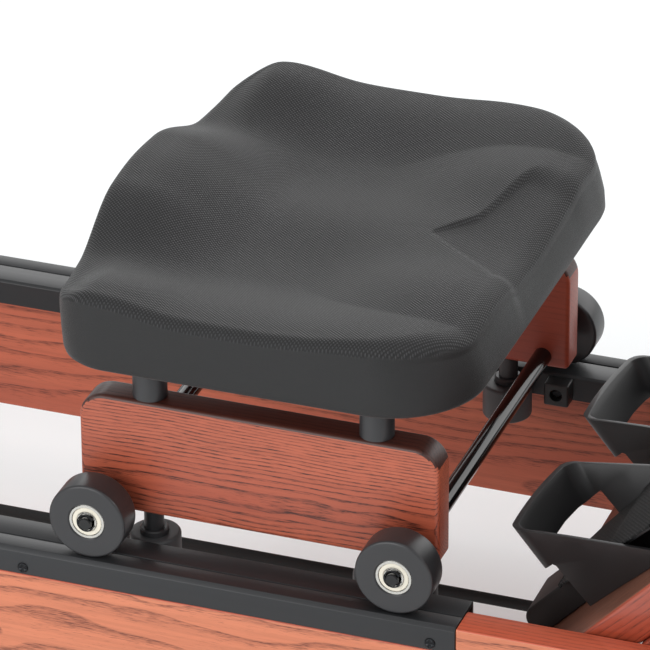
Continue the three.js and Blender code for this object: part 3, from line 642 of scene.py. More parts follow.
def seat_height(x, y):
    """Height of the seat's top in mm above the carriage's origin."""
    across = abs(y)
    dish = math.exp(-(((across - 66) / 36) ** 2) - ((x + 25) / 62) ** 2)
    bowl = 157 + 2.5 * math.exp(-((y / 32) ** 2)) - 2 * dish
    tail = smoothstep((-x - 92) / 24)
    side = 10.5 * smoothstep((across - 78) / 76) * (1 - 0.85 * tail)
    side += 4.5 * math.exp(-(((x + 80) / 30) ** 2)) * smoothstep((across - 100) / 50)
    hump = 18 * smoothstep((98 - across) / 66)
    rear = smoothstep((-x - 38) / 72) * (4.5 + hump)
    lobe = 8.5 * math.exp(-(((across - 80) / 48) ** 2)) * smoothstep((x - 5) / 88)
    front = 4 * smoothstep((x - 10) / 70) - 4.5 * smoothstep((x - 98) / 34)
    lobes = max(side, lobe) + 0.25 * min(side, lobe)
    height = bowl + lobes + rear + front
    reach = x - NOTCH_TIP
    if reach > 0:
        off = abs(y - NOTCH_MIDDLE)
        floor = 162.4 - 0.085 * reach + 0.1 * (math.hypot(off, 22) - 22)
        far = y > NOTCH_MIDDLE
        spread = 1.3 * reach + 46 * smoothstep((reach - 18) / 18) if far else 0.85 * reach + 3
        limit, turn = 93.0, 12.0
        mixed = max(turn - abs(spread - limit), 0.0) / turn
        edge = min(spread, limit) - mixed * mixed * turn / 4
        wall = 3 + (24 if far else 9) * smoothstep((reach - 8) / 45)
        inside = smoothstep((edge - off + 1) / wall)
        height = height * (1 - inside) + min(floor, height) * inside
    return height


def build_seat():
    outline = seat_outline()
    count = len(outline)
    middle = Vector((SEAT_FRONT + SEAT_REAR, 0)) / 2
    inward = []
    for i in range(count):
        run = (outline[(i + 1) % count] - outline[i - 1]).normalized()
        inward.append(Vector((-run.y, run.x)))
    rings, embossed = [], []

    def inset(amounts):
        return [corner + normal * amount for corner, normal, amount in zip(outline, inward, amounts)]

    def ring(flat, tops, mask=(0.0,) * count):
        rings.append([on_carriage(p.x, p.y, z) for p, z in zip(flat, tops)])
        embossed.extend(mask)

    # At the front the roll from the top into the skirt is wider and deeper, and the skirt leans back.
    fuller = [smoothstep((corner.x - 40) / 80) for corner in outline]
    rolls = [ROLL[0] + ROLL[1] * more for more in fuller]
    drops = [ROLL_DROP[0] + ROLL_DROP[1] * more for more in fuller]
    leans = [SKIRT_LEAN * more for more in fuller]
    edge = inset([roll + lean for roll, lean in zip(rolls, leans)])
    for level in range(1, TOP_RINGS + 1):
        flat = [middle + (p - middle) * (level / TOP_RINGS) for p in edge]
        rim = [seat_height(p.x, p.y) for p in flat]
        ring(flat, rim, [1.0] * count)
    for step in range(1, ROLL_RINGS + 1):
        angle = step / ROLL_RINGS * math.pi / 2
        flat = inset([roll * (1 - math.sin(angle)) + lean for roll, lean in zip(rolls, leans)])
        ring(flat, [z - drop * (1 - math.cos(angle)) for z, drop in zip(rim, drops)],
             [1.0 if step < ROLL_RINGS * (1 - 0.2 * more) else 0.0 for more in fuller])
    for share, amount in SKIRT_PROFILE:
        leaning = max(0.0, 1 - share * 1.25) ** 1.2
        ring(inset([amount + lean * leaning for lean in leans]),
             [(z - drop) * (1 - share) + SEAT_BOTTOM * share for z, drop in zip(rim, drops)])
    for amount, height in ((RECESS_INSET, SEAT_BOTTOM), (RECESS_INSET + 1.0, SEAT_RECESS)):
        ring(inset([amount] * count), [height] * count)
    ring([Vector((c.x * 0.3, c.y * 0.3)) for c in outline], [SEAT_RECESS] * count)
    points = [p for row in rings for p in row]
    faces = ring_faces(len(rings), count)
    points.append(on_carriage(middle.x, middle.y, seat_height(middle.x, middle.y)))
    points.append(on_carriage(middle.x, middle.y, SEAT_RECESS))
    last = (len(rings) - 1) * count
    for i in range(count):
        j = (i + 1) % count
        faces.append((i, j, len(points) - 2))
        faces.append((last + j, last + i, len(points) - 1))
    seat = faced_out(mesh_piece("seat_cushion_skin", points, faces))
    mask = seat.data.attributes.new("embossed", "FLOAT", "POINT")
    mask.data.foreach_set("value", embossed + [1.0, 0.0])
    shade(seat, 60)
    dress(seat, "seat", "carriage", "seat_foam", "seat_cushion")


build_seat()

# ---- Carriage: side plates, axles, wheels, posts and guide rollers ----


def upright_place(u, v, w):
    return Vector((u, w, v)) * MM


def top_faces(piece, material, lean=0.7):
    """Gives the faces that look up their own material, which paints the light that falls on them: painted shade on
    the side plates, painted light on the rails and a painted reflection on the footboard.
    """
    piece.data.materials.append(M[material])
    for face in piece.data.polygons:
        if face.normal.z > lean:
            face.material_index = len(piece.data.materials) - 1


def build_side_plate(name, side):
    low, high = (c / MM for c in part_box(f"{name}_side_plate"))
    top, foot = 16, 3
    outline = rounded_rectangle(low.x, high.x, low.z, high.z, foot, top, (5, 12))
    plate = slab(f"{name}_side_plate_wood", outline, low.y, high.y, upright_place, 4.0, 5)
    dress(plate, "near_plate" if side < 0 else "far_plate", "carriage", "wood", f"{name}_side_plate")
    # The plate's upward faces take the darker oak: painted shade cast by the seat.
    top_faces(plate, "plate_top", 0.3)


def build_wheel(end, name, side):
    node = f"{end}_{name}_wheel"
    centre = box_centre(node)
    _, half, radius = half_size(node)
    pocket, depth, bore, edge = 11.2, 2.2, 4.6, 1.8
    profile = [(bore, -half), (radius - 5, -half), *rounded_rim(radius, half, edge, 5)]
    profile += [(radius - 5, half), (pocket + 0.8, half), (pocket, half - 0.7), (pocket, half - depth),
                (bore, half - depth)]
    lathed(f"{node}_tyre", sided(profile, side), centre, "Y", 72, "tyre", node, "tyre", node)

    face = centre + Vector((0, side * (half - depth) * MM, 0))

    def ring(label, inner, outer, low, high, material):
        loop = [(inner, low), (outer, low), (outer, high - 0.25), (outer - 0.25, high), (inner + 0.25, high),
                (inner, high - 0.25)]
        lathed(f"{node}_{label}", sided(loop, side), face, "Y", 56, material, node, "black_steel")

    ring("outer_race", 9.3, 11.1, 0.05, 1.75, "bright")
    ring("shield", 6.4, 9.15, 0.05, 1.35, "shield")
    ring("inner_race", 4.75, 6.25, 0.05, 1.65, "bright")


def build_axle(end):
    centre = box_centre(f"{end}_axle")
    reach = half_size(f"{end}_axle")[1]
    plate_face = plate_high.y / MM + 0.3
    wheel_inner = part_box(f"{end}_left_wheel")[0].y / MM - 0.3
    profile = [(0, -reach), (3.4, -reach), (4, -reach + 0.6), (4, -wheel_inner), (8, -wheel_inner),
               (8, -plate_face), (5.8, -plate_face), (5.8, plate_face), (8, plate_face), (8, wheel_inner),
               (4, wheel_inner), (4, reach - 0.6), (3.4, reach), (0, reach)]
    lathed(f"{end}_axle_rod", profile, centre, "Y", 48, "gloss", "carriage", "black_steel", f"{end}_axle")
    for name, side in SIDES:
        build_clip(f"{end}_{name}_axle_clip", centre + Vector((0, side * (reach - 1.9) * MM, 0)))


def build_clip(name, centre):
    """A retaining clip: a flat ring with a gap and three inner teeth."""
    outer, inner, tip, gap, steps = 5.6, 4.9, 4.1, 32, 32
    turns = [math.radians(gap + (360 - 2 * gap) * i / steps) for i in range(steps + 1)]
    outline = [(outer * math.cos(turn), outer * math.sin(turn)) for turn in turns]
    for i in range(steps, -1, -1):
        radius = tip if i in (15, 16, 17) or i < 3 or i > 29 else inner
        outline.append((radius * math.cos(turns[i]), radius * math.sin(turns[i])))
    clip = slab(name, outline, -0.45, 0.45, lambda u, v, w: centre + Vector((u, w, v)) * MM, 0.15, 1)
    dress(clip, "clip", "carriage", "black_steel")


def build_post(end, name, side):
    node = f"{end}_{name}_post"
    low, high = (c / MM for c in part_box(node))
    centre_x = (low.x + high.x) / 2
    y = side * (plate_high.y + plate_low.y) / 2 / MM
    plate_bottom, plate_top = plate_low.z / MM, plate_high.z / MM
    roller_y = box_centre(f"{end}_{name}_guide_roller").y / MM
    roller_low, roller_high = heights(f"{end}_{name}_guide_roller")
    base = Vector((centre_x, y, 0)) * MM
    top = plate_top + 0.3
    tube = revolve(f"{node}_tube", [(0, top), (10.3, top), (10.3, high.z - 1), (9.6, high.z), (0, high.z)],
                   base, "Z", 48)
    middle = Vector((centre_x, (y + roller_y) / 2, 0)) * MM
    pin = revolve(f"{node}_pin", [(0, roller_high + 0.3), (8.6, roller_high + 0.3), (8.6, roller_high + 3.2),
                                  (7.8, roller_high + 4), (6, roller_high + 4), (6, plate_bottom - 0.3),
                                  (0, plate_bottom - 0.3)], middle, "Z", 40)
    bolt_at = Vector((centre_x, roller_y, 0)) * MM
    bolt = revolve(f"{node}_bolt", [(0, roller_low - 3), (6.5, roller_low - 3), (7, roller_low - 2.5),
                                    (7, roller_low - 0.4), (5, roller_low - 0.4), (5, roller_high + 1),
                                    (0, roller_high + 1)], bolt_at, "Z", 32)
    post = joined(f"{node}_assembly", tube, pin, bolt)
    dress(post, "post", "carriage", "black_plastic", node)


def build_roller(end, name):
    node = f"{end}_{name}_guide_roller"
    centre = box_centre(node)
    _, radius, half = half_size(node)
    bore, edge = 5.4, 2
    profile = [(bore, -half), *rounded_rim(radius, half, edge, 4), (8.5, half), (8, half - 0.6),
               (bore, half - 0.6)]
    lathed(f"{node}_wheel", profile, centre, "Z", 56, "grey", f"{end}_{name}_roller", "grey_plastic", node)


for name, side in SIDES:
    build_side_plate(name, side)
for end in ENDS:
    build_axle(end)
    for name, side in SIDES:
        build_wheel(end, name, side)
        build_post(end, name, side)
        build_roller(end, name)
pan = from_node("seat_pan", "seat_base", 1.5)
dress(pan, "tie", "carriage", "wood", "seat_base")

# ---- Rails, track caps, stops and screws ----


def build_screw(name, centre, outward, radius=3.3):
    """A domed cross-head screw whose head stands on centre and faces outward."""
    height, brim, recess = 1.7, 0.25, 1.1
    profile = [(0, -0.4), (radius, -0.4), (radius, brim)]
    for i in range(1, 6):
        angle = i / 6 * math.pi / 2
        profile.append((radius * math.cos(angle), brim + (height - brim) * math.sin(angle)))
    profile.append((0, height))
    head = revolve(name, profile, Vector((0, 0, 0)), "Z", 32)
    bm = bmesh.new()
    bm.from_mesh(head.data)
    slot_half, reach = radius * 0.17, radius * 0.62
    for face in bm.faces:
        middle = face.calc_center_median() / MM
        on_cross = (abs(middle.x) < slot_half and abs(middle.y) < reach) or (
            abs(middle.y) < slot_half and abs(middle.x) < reach)
        if on_cross and middle.z > 0.5:
            for vert in face.verts:
                vert.co.z = min(vert.co.z, (height - recess) * MM)
    bm.to_mesh(head.data)
    bm.free()
    turn = Vector((0, 0, 1)).rotation_difference(outward).to_matrix().to_4x4()
    head.data.transform(Matrix.Translation(centre) @ turn)
    dress(head, "screw", "frame", "black_steel")


STOP_WELL = 4.0
CAP_SCREWS, SCREW_PITCH, FIRST_SCREW, SCREW_DROP = 5, 255, 15, 12.5

for name, side in SIDES:
    rail = from_node(f"{name}_rail_wood", f"{name}_rail", 1.6, 3)
    dress(rail, "far_rail" if side > 0 else "near_rail", "frame", "wood", f"{name}_rail")
    # The rail's upward faces take their own redder oak: painted light.
    top_faces(rail, "rail_top")
    cap = from_node(f"{name}_track_profile", f"{name}_track_cap", 0.35, 2)
    dress(cap, "track", "frame", "track_aluminium", f"{name}_track_cap")
    cap_low, cap_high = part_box(f"{name}_track_cap")
    outer = cap_high.y if side > 0 else cap_low.y
    for index in range(CAP_SCREWS):
        x = cap_high.x - (FIRST_SCREW + index * SCREW_PITCH) * MM
        spot = Vector((x, outer, cap_high.z - SCREW_DROP * MM))
        build_screw(f"{name}_track_screw_{index + 1}", spot, Vector((0, side, 0)))
    for end in ENDS:
        node = f"{end}_{name}_stop"
        low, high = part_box(node)
        face_y = low.y if side > 0 else high.y
        spot = Vector(((low.x + high.x) / 2, face_y, (low.z + high.z) / 2))
        stop = from_node(f"{node}_block", node, 1.2, 3)
        well = revolve("well", block(0, 4.2, -STOP_WELL, 3), spot, "Y", 32)
        if side > 0:
            mirror = Matrix.Scale(-1, 4, (0, 1, 0))
            well.data.transform(Matrix.Translation(spot) @ mirror @ Matrix.Translation(-spot))
            well.data.flip_normals()
        cut_away(stop, [well])
        shade(stop, 30)
        dress(stop, "plastic", "frame", "black_plastic", node)
        seat = spot + Vector((0, side * STOP_WELL * MM, 0))
        build_screw(f"{node}_screw", seat, Vector((0, -side, 0)), 3.4)

# ---- Everything that keeps its CAD shape with rounded edges ----

PLAIN = (
    ("rear_foot", "rear_cross", "wood", 3.0), ("front_foot", "front_cross", "wood", 3.0),
    ("footboard_crossbar", "tie", "wood", 1.5), ("footboard", "board", "wood", 3.0),
    ("base_deck", "deck", "wood", 3.5), ("top_deck", "deck", "wood", 3.5),
    ("rear_upright", "rear_upright", "wood", 2.0), ("front_upright", "front_upright", "wood", 2.0),
    ("handle_rest", "plastic", "black_plastic", 0.8), ("monitor", "plastic", "monitor_case", 1.6),
    ("monitor_bracket", "plastic", "black_plastic", 0.8),
    *((f"{name}_slide_bar", "slide", "black_plastic", 1.2) for name, _ in SIDES),
    ("paddle", "grey", "grey_plastic", 0.8),
    *((f"{end}_{name}_foot_pad", "rubber", "rubber", 1.0) for end in reversed(ENDS) for name, _ in SIDES),
)
BODIES = frame["record"]["behaviour"]["bodies"]
BODY_OF = {node: body for body, members in BODIES.items() for node in members}
for node, material, slot, width in PLAIN:
    piece = from_node(f"{node}_finished", node, width)
    dress(piece, material, BODY_OF[node], slot, node)
    # The footboard's upward face takes the greyer oak: painted reflection.
    if node == "footboard":
        top_faces(piece, "board_top", 0.6)

# ---- Heel cups and foot straps ----

CUP = dict(length=88, rim=64, lean=11.6 / 64, half=31, flare=0.26, spread=0.127, wall=2.4, corner=6,
           slot=4.5, slot_top=35, crown=2.5, skew=3.2)
RIM_TURN = math.radians(41.5)
SLIDE_Y, SLIDE_HALF, SLIDE_TOP = 69, 19.5, 18
HEEL_STEPS, STRAP_STEPS = 10, 44


def cup_outline(height, inset):
    """The cup's outline at one height off the board, from one front end round the heel to the other."""
    rear = CUP["lean"] * height + inset
    front = CUP["length"] + 12
    corner = CUP["corner"] + height * 0.05

    def half(x):
        return CUP["half"] + CUP["flare"] * x + CUP["spread"] * height - inset

    side = [(front, half(front)), (front * 0.6, half(front * 0.6)), (front * 0.35, half(front * 0.35))]
    for i in range(HEEL_STEPS + 1):
        turn = i / HEEL_STEPS * math.pi / 2
        side.append((rear + corner * (1 - math.sin(turn)),
                     half(rear + corner) - corner * (1 - math.cos(turn))))
    reach = side[-1][1]
    middle = [(rear, reach * k / 9) for k in range(8, -9, -1)]
    loop = side + middle + [(x, -y) for x, y in reversed(side)]
    moved = []
    for x, y in loop:
        share = max(-1.0, min(y / half(0), 1.0))
        extra = CUP["crown"] * (1 - share ** 2) + CUP["skew"] * (1 - share)
        moved.append((x - extra * smoothstep((34 - x) / 30), y))
    return moved


def build_heel_cup(name, side):
    shift = side * SLIDE_Y
    levels = [0.3, *range(12, 85, 12), 92]

    def shell(label, inset, heights):
        return faced_out(loft(label, [[on_slope(x, y + shift, h) for x, y in cup_outline(h, inset)]
                                      for h in heights]))

    cup = shell(f"{name}_heel_cup_shell", 0, levels)
    inner = shell("cup_inside", CUP["wall"], [-20, *levels[1:], 97])

    def across(u, v, w):
        return on_slope(u, w + shift, v)

    rim = []
    for u, v in block(-80, 260, 0, 160):
        rim.append((u * math.cos(RIM_TURN) + v * math.sin(RIM_TURN) + CUP["lean"] * CUP["rim"],
                    -u * math.sin(RIM_TURN) + v * math.cos(RIM_TURN) + CUP["rim"]))
    lean, slot, slot_top = CUP["lean"], CUP["slot"], CUP["slot_top"]
    behind = [(-40, -10), (slot - 10 * lean, -10), (slot + (slot_top - 2) * lean, slot_top - 2),
              (slot - 1.5 + slot_top * lean, slot_top), (-40, slot_top)]
    clear = SLIDE_HALF + 0.3
    arch = [(-33, -10), (60, -10), (60, 36), (42, 36.5), (34, 37.5), (24, 39.5), (8, 41), (-12, 41),
            (-24, 39.5), (-30, 37), (-33, 33)]

    def through_heel(u, v, w):
        return on_slope(w, u + shift, v)

    cutters = [inner, slab("arch", arch, -40, 19, through_heel), slab("above_rim", rim, -120, 120, across),
               slab("in_front", block(CUP["length"], 200, -30, 140), -120, 120, across),
               slab("opening", behind, -90, 90, across),
               slab("channel", block(-60, 200, -10, SLIDE_TOP + 0.3), -clear, clear, across)]
    cut_away(cup, cutters)
    rounded(cup, 0.6, 3, 40)
    tray_rear, tray_front, rear_half, front_half = 42, CUP["length"] - 1, 38, 49
    tray_outline = [(tray_rear, -rear_half), (tray_front, -front_half), (tray_front, front_half),
                    (tray_rear, rear_half)]
    tray = slab("tray", tray_outline, SLIDE_TOP + 0.3, SLIDE_TOP + 2.0,
                lambda u, v, w: on_slope(u, v + shift, w), 0.4, 2)
    cup = joined(f"{name}_heel_cup_shell", cup, tray)
    dress(cup, "cup", f"{name}_cup", "black_plastic", f"{name}_heel_cup")
    build_cup_webbing(name, shift)


def build_cup_webbing(name, shift):
    """Webbing laid over the slide bar inside the cup, from the heel to past the bridge."""
    thick, base, rear, front, steps = 1.6, SLIDE_TOP + 0.5, -6, 84, 40
    rows = []
    for i in range(steps + 1):
        along = rear + i * (front - rear) / steps
        lift = 2.0 * smoothstep((along - 34) / 10)
        half = 30.2 + 0.255 * max(along, 0) - 3.5 * smoothstep((8 - along) / 12)
        section = block(-half, half, base, base + thick)
        rows.append([on_slope(along, shift + y, z + lift) for y, z in section])
    band = loft(f"{name}_cup_webbing", rows)
    rounded(band, 0.5, 2, 50)
    dress(band, "web_slope", f"{name}_cup", "webbing")


STRAP = dict(width=38, thick=2.0, middle=175, rise=72, spread=50)


def strap_curve():
    """The strap's middle line across the foot, as (across, off) in mm."""
    inner = SLIDE_HALF + 0.3 + STRAP["thick"] / 2
    spread, rise = STRAP["spread"] + 1, STRAP["rise"] + 1
    legs = ((inner, 4), (spread + 4, 21), (spread - 1, rise), (0, rise))
    points = []
    for i in range(STRAP_STEPS + 1):
        t = i / STRAP_STEPS
        a, b, c, d = (1 - t) ** 3, 3 * t * (1 - t) ** 2, 3 * t * t * (1 - t), t ** 3
        points.append(tuple(a * p + b * q + c * r + d * w for p, q, r, w in zip(*legs)))
    return points + [(-y, z) for y, z in reversed(points[:-1])]


def build_foot_strap(name, side):
    """Webbing bent over the foot, with a soft wave in its edges where the fingers pull it."""
    shift = side * SLIDE_Y
    line = [Vector(p) for p in strap_curve()]
    rows = []
    for i, point in enumerate(line):
        normal = square_to(line, i)
        lift = smoothstep((point.y - 22) / 30)
        ring = []
        for along, off in ((-0.5, -0.5), (-0.17, -0.5), (0.17, -0.5), (0.5, -0.5),
                           (0.5, 0.5), (0.17, 0.5), (-0.17, 0.5), (-0.5, 0.5)):
            wave = 0.7 * lift * math.sin(i * 0.35 + along * 5) * abs(along) * 2
            place = point + normal * (off * STRAP["thick"] * 0.9 - wave)
            ring.append(on_slope(STRAP["middle"] + along * STRAP["width"], shift + place.x, place.y))
        rows.append(ring)
    strap = faced_out(loft(f"{name}_foot_webbing", rows))
    rounded(strap, 0.4, 2, 60)
    dress(strap, "web_slope", "frame", "webbing", f"{name}_foot_strap")


for name, side in SIDES:
    build_heel_cup(name, side)
    build_foot_strap(name, side)

# ---- Water tank, paddle drive and strap ----

tank_centre = box_centre("tank_gasket")
TANK = Vector((tank_centre.x, tank_centre.y, 0))
SEAM = tank_centre.z / MM
FLANGE_BOLTS, TANK_SEGMENTS, WATER_SEGMENTS = 24, 160, 120


def build_tank():
    radius, flange, wall, floor, top = 225, 242, 4, SEAM - 86, SEAM + 78
    bend, low_flange, gap = 40, SEAM - 8, 1.5
    lower = [(0, floor)] + arc(radius - bend, floor + bend, bend, -90, 0, 14)
    lower += [(radius, low_flange - 1), (radius + 1, low_flange), (flange - 1, low_flange),
              (flange, low_flange + 1), (flange, SEAM - gap), (radius - wall, SEAM - gap)]
    lower += arc(radius - wall - bend + 2, floor + bend + 2, bend - 2, 0, -90, 14) + [(0, floor + wall)]
    lathed("tank_lower_bowl", lower, TANK, "Z", TANK_SEGMENTS, "shell", "frame", "clear_shell",
           "tank_lower_shell")
    mouth = 24
    upper = [(radius - wall, SEAM + gap), (flange, SEAM + gap), (flange, SEAM + 7), (flange - 1, SEAM + 8),
             (radius + 1, SEAM + 8), (radius, SEAM + 9)]
    upper += arc(radius - bend, top - bend, bend, 0, 90, 14)
    upper += [(mouth, top), (mouth, top - wall)]
    upper += arc(radius - wall - bend + 2, top - bend - 2, bend - 2, 90, 0, 14)
    lathed("tank_upper_dome", upper, TANK, "Z", TANK_SEGMENTS, "shell", "frame", "clear_shell",
           "tank_upper_shell")
    ring = [(radius - wall, SEAM - 1.2), (flange - 0.4, SEAM - 1.2), (flange, SEAM),
            (flange - 0.4, SEAM + 1.2), (radius - wall, SEAM + 1.2)]
    lathed("tank_seal", ring, TANK, "Z", TANK_SEGMENTS, "rubber", "frame", "rubber", "tank_gasket")
    build_water(radius - wall - 0.4, floor + wall + 0.4, bend - 2, SEAM - 8)
    bolts = []
    for i in range(FLANGE_BOLTS):
        angle = 2 * math.pi * (i + 0.5) / FLANGE_BOLTS
        place = TANK + Vector((math.cos(angle), math.sin(angle), 0)) * (flange - 8) * MM
        head = [(r, SEAM + 8 + h) for r, h in ((0, 0.1), (4.2, 0.1), (4.2, 0.7), (3.3, 0.7), (3.3, 2.6),
                                               (2.9, 3), (0, 3))]
        nut = [(r, low_flange - h) for r, h in ((0, 0.1), (4.2, 0.1), (4.2, 0.8), (3.3, 0.8), (3.3, 3.4),
                                                (1.6, 3.4), (1.6, 4.6), (0, 4.6))]
        bolts += [revolve("head", head, place, "Z", 12), revolve("nut", nut, place, "Z", 12)]
    dress(joined("tank_flange_bolts", *bolts), "bright", "frame", "black_steel")


def build_water(radius, floor, bend, level):
    """The whole body of water, with slow ripples on its surface round the paddle."""
    profile = arc(radius - bend, floor + bend, bend, -80, 0, 10) + [(radius, level)]
    surface = [radius * k / 24 for k in range(23, 0, -1)]
    rings = []
    for r, z in profile + [(r, None) for r in surface]:
        ring = []
        for i in range(WATER_SEGMENTS):
            angle = 2 * math.pi * i / WATER_SEGMENTS
            swell = 0.0 if z is not None else 1.3 * math.sin(6 * angle + r * 0.06) * math.sin(r * 0.09)
            height = level + swell if z is None else z
            ring.append(TANK + Vector((r * math.cos(angle), r * math.sin(angle), height)) * MM)
        rings.append(ring)
    water = faced_out(loft("tank_water_body", rings))
    shade(water, 50)
    dress(water, "water", "frame", "water", "tank_water")


def build_drive():
    shaft_low, shaft_high = heights("paddle_shaft")
    rod = [(0, shaft_low), (7.2, shaft_low), (8, shaft_low + 0.8), (8, shaft_high - 0.8),
           (7.2, shaft_high), (0, shaft_high)]
    lathed("paddle_shaft_rod", rod, TANK, "Z", 48, "bright", "rotor", "black_steel", "paddle_shaft")
    low, high = heights("shaft_bearing")
    ring = [(8.6, low), (44, low), (44, low + 3), (42.5, high - 3), (20, high - 2), (17, high), (8.6, high)]
    lathed("shaft_bearing_housing", ring, TANK, "Z", 72, "plastic", "frame", "black_plastic",
           "shaft_bearing")
    low, high = heights("drive_spool")
    bore, drum, flange, rim = 8.4, 36, 45, 1.7
    edge = flange - 0.4
    reel = [(bore, low), (edge, low), (flange, low + 0.8), (edge, low + rim), (drum, low + rim),
            (drum, high - rim), (edge, high - rim), (flange, high - 0.8), (edge, high), (bore, high)]
    lathed("drive_spool_reel", reel, TANK, "Z", 96, "plastic", "rotor", "black_plastic", "drive_spool")
    nut = [(bore, high), (14, high), (14, high + 4), (13, high + 5), (bore, high + 5)]
    dress(revolve("drive_spool_nut", nut, TANK, "Z", 6, 20), "bright", "rotor", "black_steel")
    centre = box_centre("guide_pulley")
    _, radius, half = half_size("guide_pulley")
    bore = 4.4
    rim = [(radius - 3, half), (radius - 2, half - 1), (radius - 0.6, half - 1.4)]
    wheel = [(bore, -half), *sided(rim, -1), (radius, 0), *reversed(rim), (bore, half)]
    dress(revolve("guide_pulley_wheel", wheel, centre, "Z", 64, 60), "grey", "pulley", "grey_plastic",
          "guide_pulley")


def build_pull_strap():
    """The strap from the handle round the guide pulley to the spool."""
    low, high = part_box("pull_strap")
    pulley = box_centre("guide_pulley")
    spool_y = high.y - 0.75 * MM
    start, bend, end = Vector((low.x, 0)), Vector((pulley.x, 0)), Vector((TANK.x, spool_y))
    line = [start.lerp(bend, i / 40) for i in range(40)] + [bend.lerp(end, i / 24) for i in range(25)]
    half, edge = 0.75 * MM, 0.3 * MM
    rows = []
    for i, point in enumerate(line):
        normal = square_to(line, i)
        section = block(-half, half, low.z + edge, high.z - edge)
        rows.append([Vector((*(point + normal * off), z)) for off, z in section])
    strap = loft("pull_strap_webbing", rows)
    rounded(strap, 0.3, 2, 60)
    strap.data.materials.append(M["web"])
    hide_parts("pull_strap")
    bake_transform(strap)


def build_handle():
    hub_front = 17.6
    centre = Vector((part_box("handle")[1].x - hub_front * MM, 0, box_centre("handle").z))
    reach = half_size("handle")[1]
    lathed("handle_bar", block(0, 10.5, -reach + 4, reach - 4), centre, "Y", 40, "gloss", "handle",
           "black_steel", "handle")
    for name, side in SIDES:
        start, stop, pitch = 34.0, reach - 7, 4.0
        grip = [(10.6, start), (13.4, start), (14, start + 0.8)]
        count = int((stop - start - 3) / pitch)
        for i in range(count):
            at = start + 2 + i * pitch
            grip += [(14, at), (14, at + pitch * 0.6), (13.3, at + pitch * 0.7), (13.3, at + pitch * 0.9)]
        grip += [(14, stop - 1), (13.4, stop), (10.6, stop)]
        lathed(f"handle_{name}_grip", sided(grip, side), centre, "Y", 56, "grip", "handle", "grip_rubber")
        cap = [(0, stop), (14, stop), (14, stop + 3)] + arc(10, stop + 3, 4, 0, 90, 5) + [(0, stop + 7)]
        lathed(f"handle_{name}_end_cap", sided(cap, side), centre, "Y", 56, "plastic", "handle",
               "black_plastic")
    hub = slab("handle_hub", rounded_rectangle(-15, hub_front, -22, 22, 6, 6), -13.6, 13.6,
               lambda u, v, w: centre + Vector((u, v, w)) * MM, 2.5, 4)
    dress(hub, "plastic", "handle", "black_plastic")


def build_cord():
    low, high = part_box("return_cord")
    centre = (low + high) / 2
    half, radius = (high.x - low.x) / 2 / MM, (high.y - low.y) / 2 / MM
    profile = block(0, radius, -half, half)
    lathed("return_cord_sheath", profile, centre, "X", 40, "cord", "frame", "cord", "return_cord")


def build_display():
    low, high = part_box("monitor")
    face = low.x / MM
    outline = rounded_rectangle(-60, 60, high.z / MM - 62, high.z / MM - 12, 5, 5)
    glass = slab("monitor_display", outline, face - 0.5, face + 1.5,
                 lambda u, v, w: Vector((w, u, v)) * MM, 0.4, 2)
    dress(glass, "display", "monitor", "monitor_case")
    middle = box_centre("monitor_button")
    reach = half_size("monitor_button")[0]
    flat, edge = 6.6, 1.2
    cap = [(0, -reach), (flat, -reach)] + arc(flat, -reach + edge, edge, -90, 0, 4)
    cap += [(flat + edge, reach), (0, reach)]
    lathed("monitor_button_cap", cap, middle, "X", 48, "grey", "button", "grey_plastic", "monitor_button")


build_tank()
build_drive()
build_pull_strap()
build_handle()
build_cord()
build_display()

# ---- Floor, light and camera ----

FLOOR_COLOUR, FLOOR_GLOW, WORLD_STRENGTH = (0.81, 0.845, 0.855, 1), 0.14, 0.55


def build_stage():
    floor = mesh_piece("floor", [(-9, -7, 0), (9, -7, 0), (9, 14, 0), (-9, 14, 0)], [(0, 1, 2, 3)])
    n = Nodes("pale_floor", Roughness=0.6)
    n.feed(n.shader.inputs["Base Color"], FLOOR_COLOUR)
    n.feed(n.shader.inputs["Emission Color"], (1, 1, 1, 1))
    n.feed(n.shader.inputs["Emission Strength"], FLOOR_GLOW)
    floor.data.materials.append(n.material)


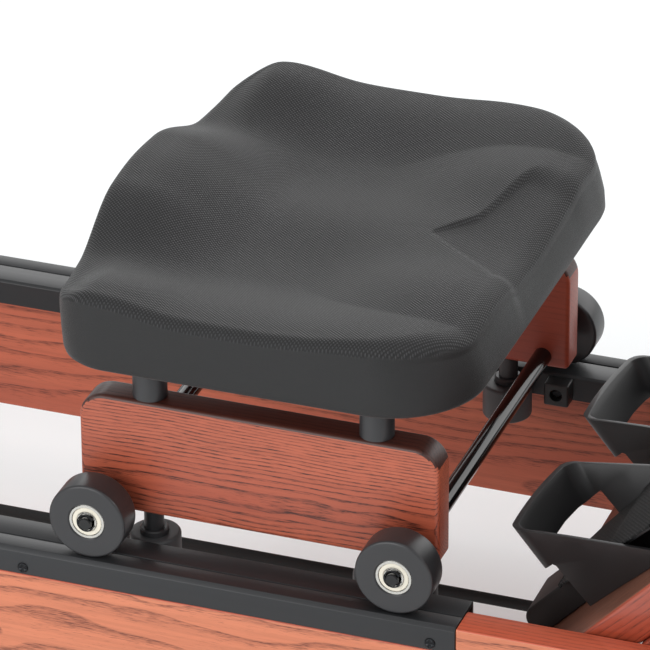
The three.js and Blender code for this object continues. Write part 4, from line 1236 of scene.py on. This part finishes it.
def area_light(name, place, target, size, power):
    light = bpy.data.lights.new(name, "AREA")
    light.shape = "RECTANGLE"
    light.size, light.size_y = size
    light.energy = power
    lamp = bpy.data.objects.new(name, light)
    bpy.context.scene.collection.objects.link(lamp)
    lamp.location = place
    lamp.rotation_euler = (Vector(target) - Vector(place)).to_track_quat("-Z", "Y").to_euler()


def build_light():
    world = bpy.data.worlds.new("studio")
    world.use_nodes = True
    background = world.node_tree.nodes["Background"]
    background.inputs["Color"].default_value = (1, 1, 1, 1)
    background.inputs["Strength"].default_value = WORLD_STRENGTH
    bpy.context.scene.world = world
    # Each softbox: its name, its place, the point it faces, its size and its power.
    area_light("front_softbox", (-1.5, -3.4, 1.9), (0, 0, 0.2), (3.4, 2.6), 98)
    area_light("back_softbox", (0.5, 4.2, 2.0), (0.3, 0.4, 0.1), (7.6, 2.6), 116)
    area_light("top_softbox", (0.2, -0.4, 3.4), (0, 0, 0), (2.0, 2.0), 14)
    area_light("side_softbox", (3.0, -0.4, 2.3), (0.2, 0, 0.1), (1.8, 1.8), 46)
    bpy.context.scene.view_settings.view_transform = "Standard"


# The camera's place in mm from the carriage's origin, its direction, its roll in radians and its lens.
CAMERA = dict(place=(969.15, -2674.99, 1635.03), forward=(-0.30098, 0.82522, -0.47793), roll=-0.006,
              lens=297.7)


def build_camera():
    camera = bpy.data.cameras.new("camera")
    camera.sensor_width = 36
    camera.lens = CAMERA["lens"]
    camera.clip_end = 60
    eye = bpy.data.objects.new("camera", camera)
    bpy.context.scene.collection.objects.link(eye)
    forward = Vector(CAMERA["forward"]).normalized()
    right = forward.cross(Vector((0, 0, 1))).normalized()
    up = right.cross(forward)
    roll = CAMERA["roll"]
    side = right * math.cos(roll) + up * math.sin(roll)
    lift = up * math.cos(roll) - right * math.sin(roll)
    turn = Matrix((side, lift, -forward)).transposed().to_4x4()
    eye.matrix_world = Matrix.Translation(on_carriage(*CAMERA["place"])) @ turn
    bpy.context.scene.camera = eye


build_stage()
build_light()
build_camera()
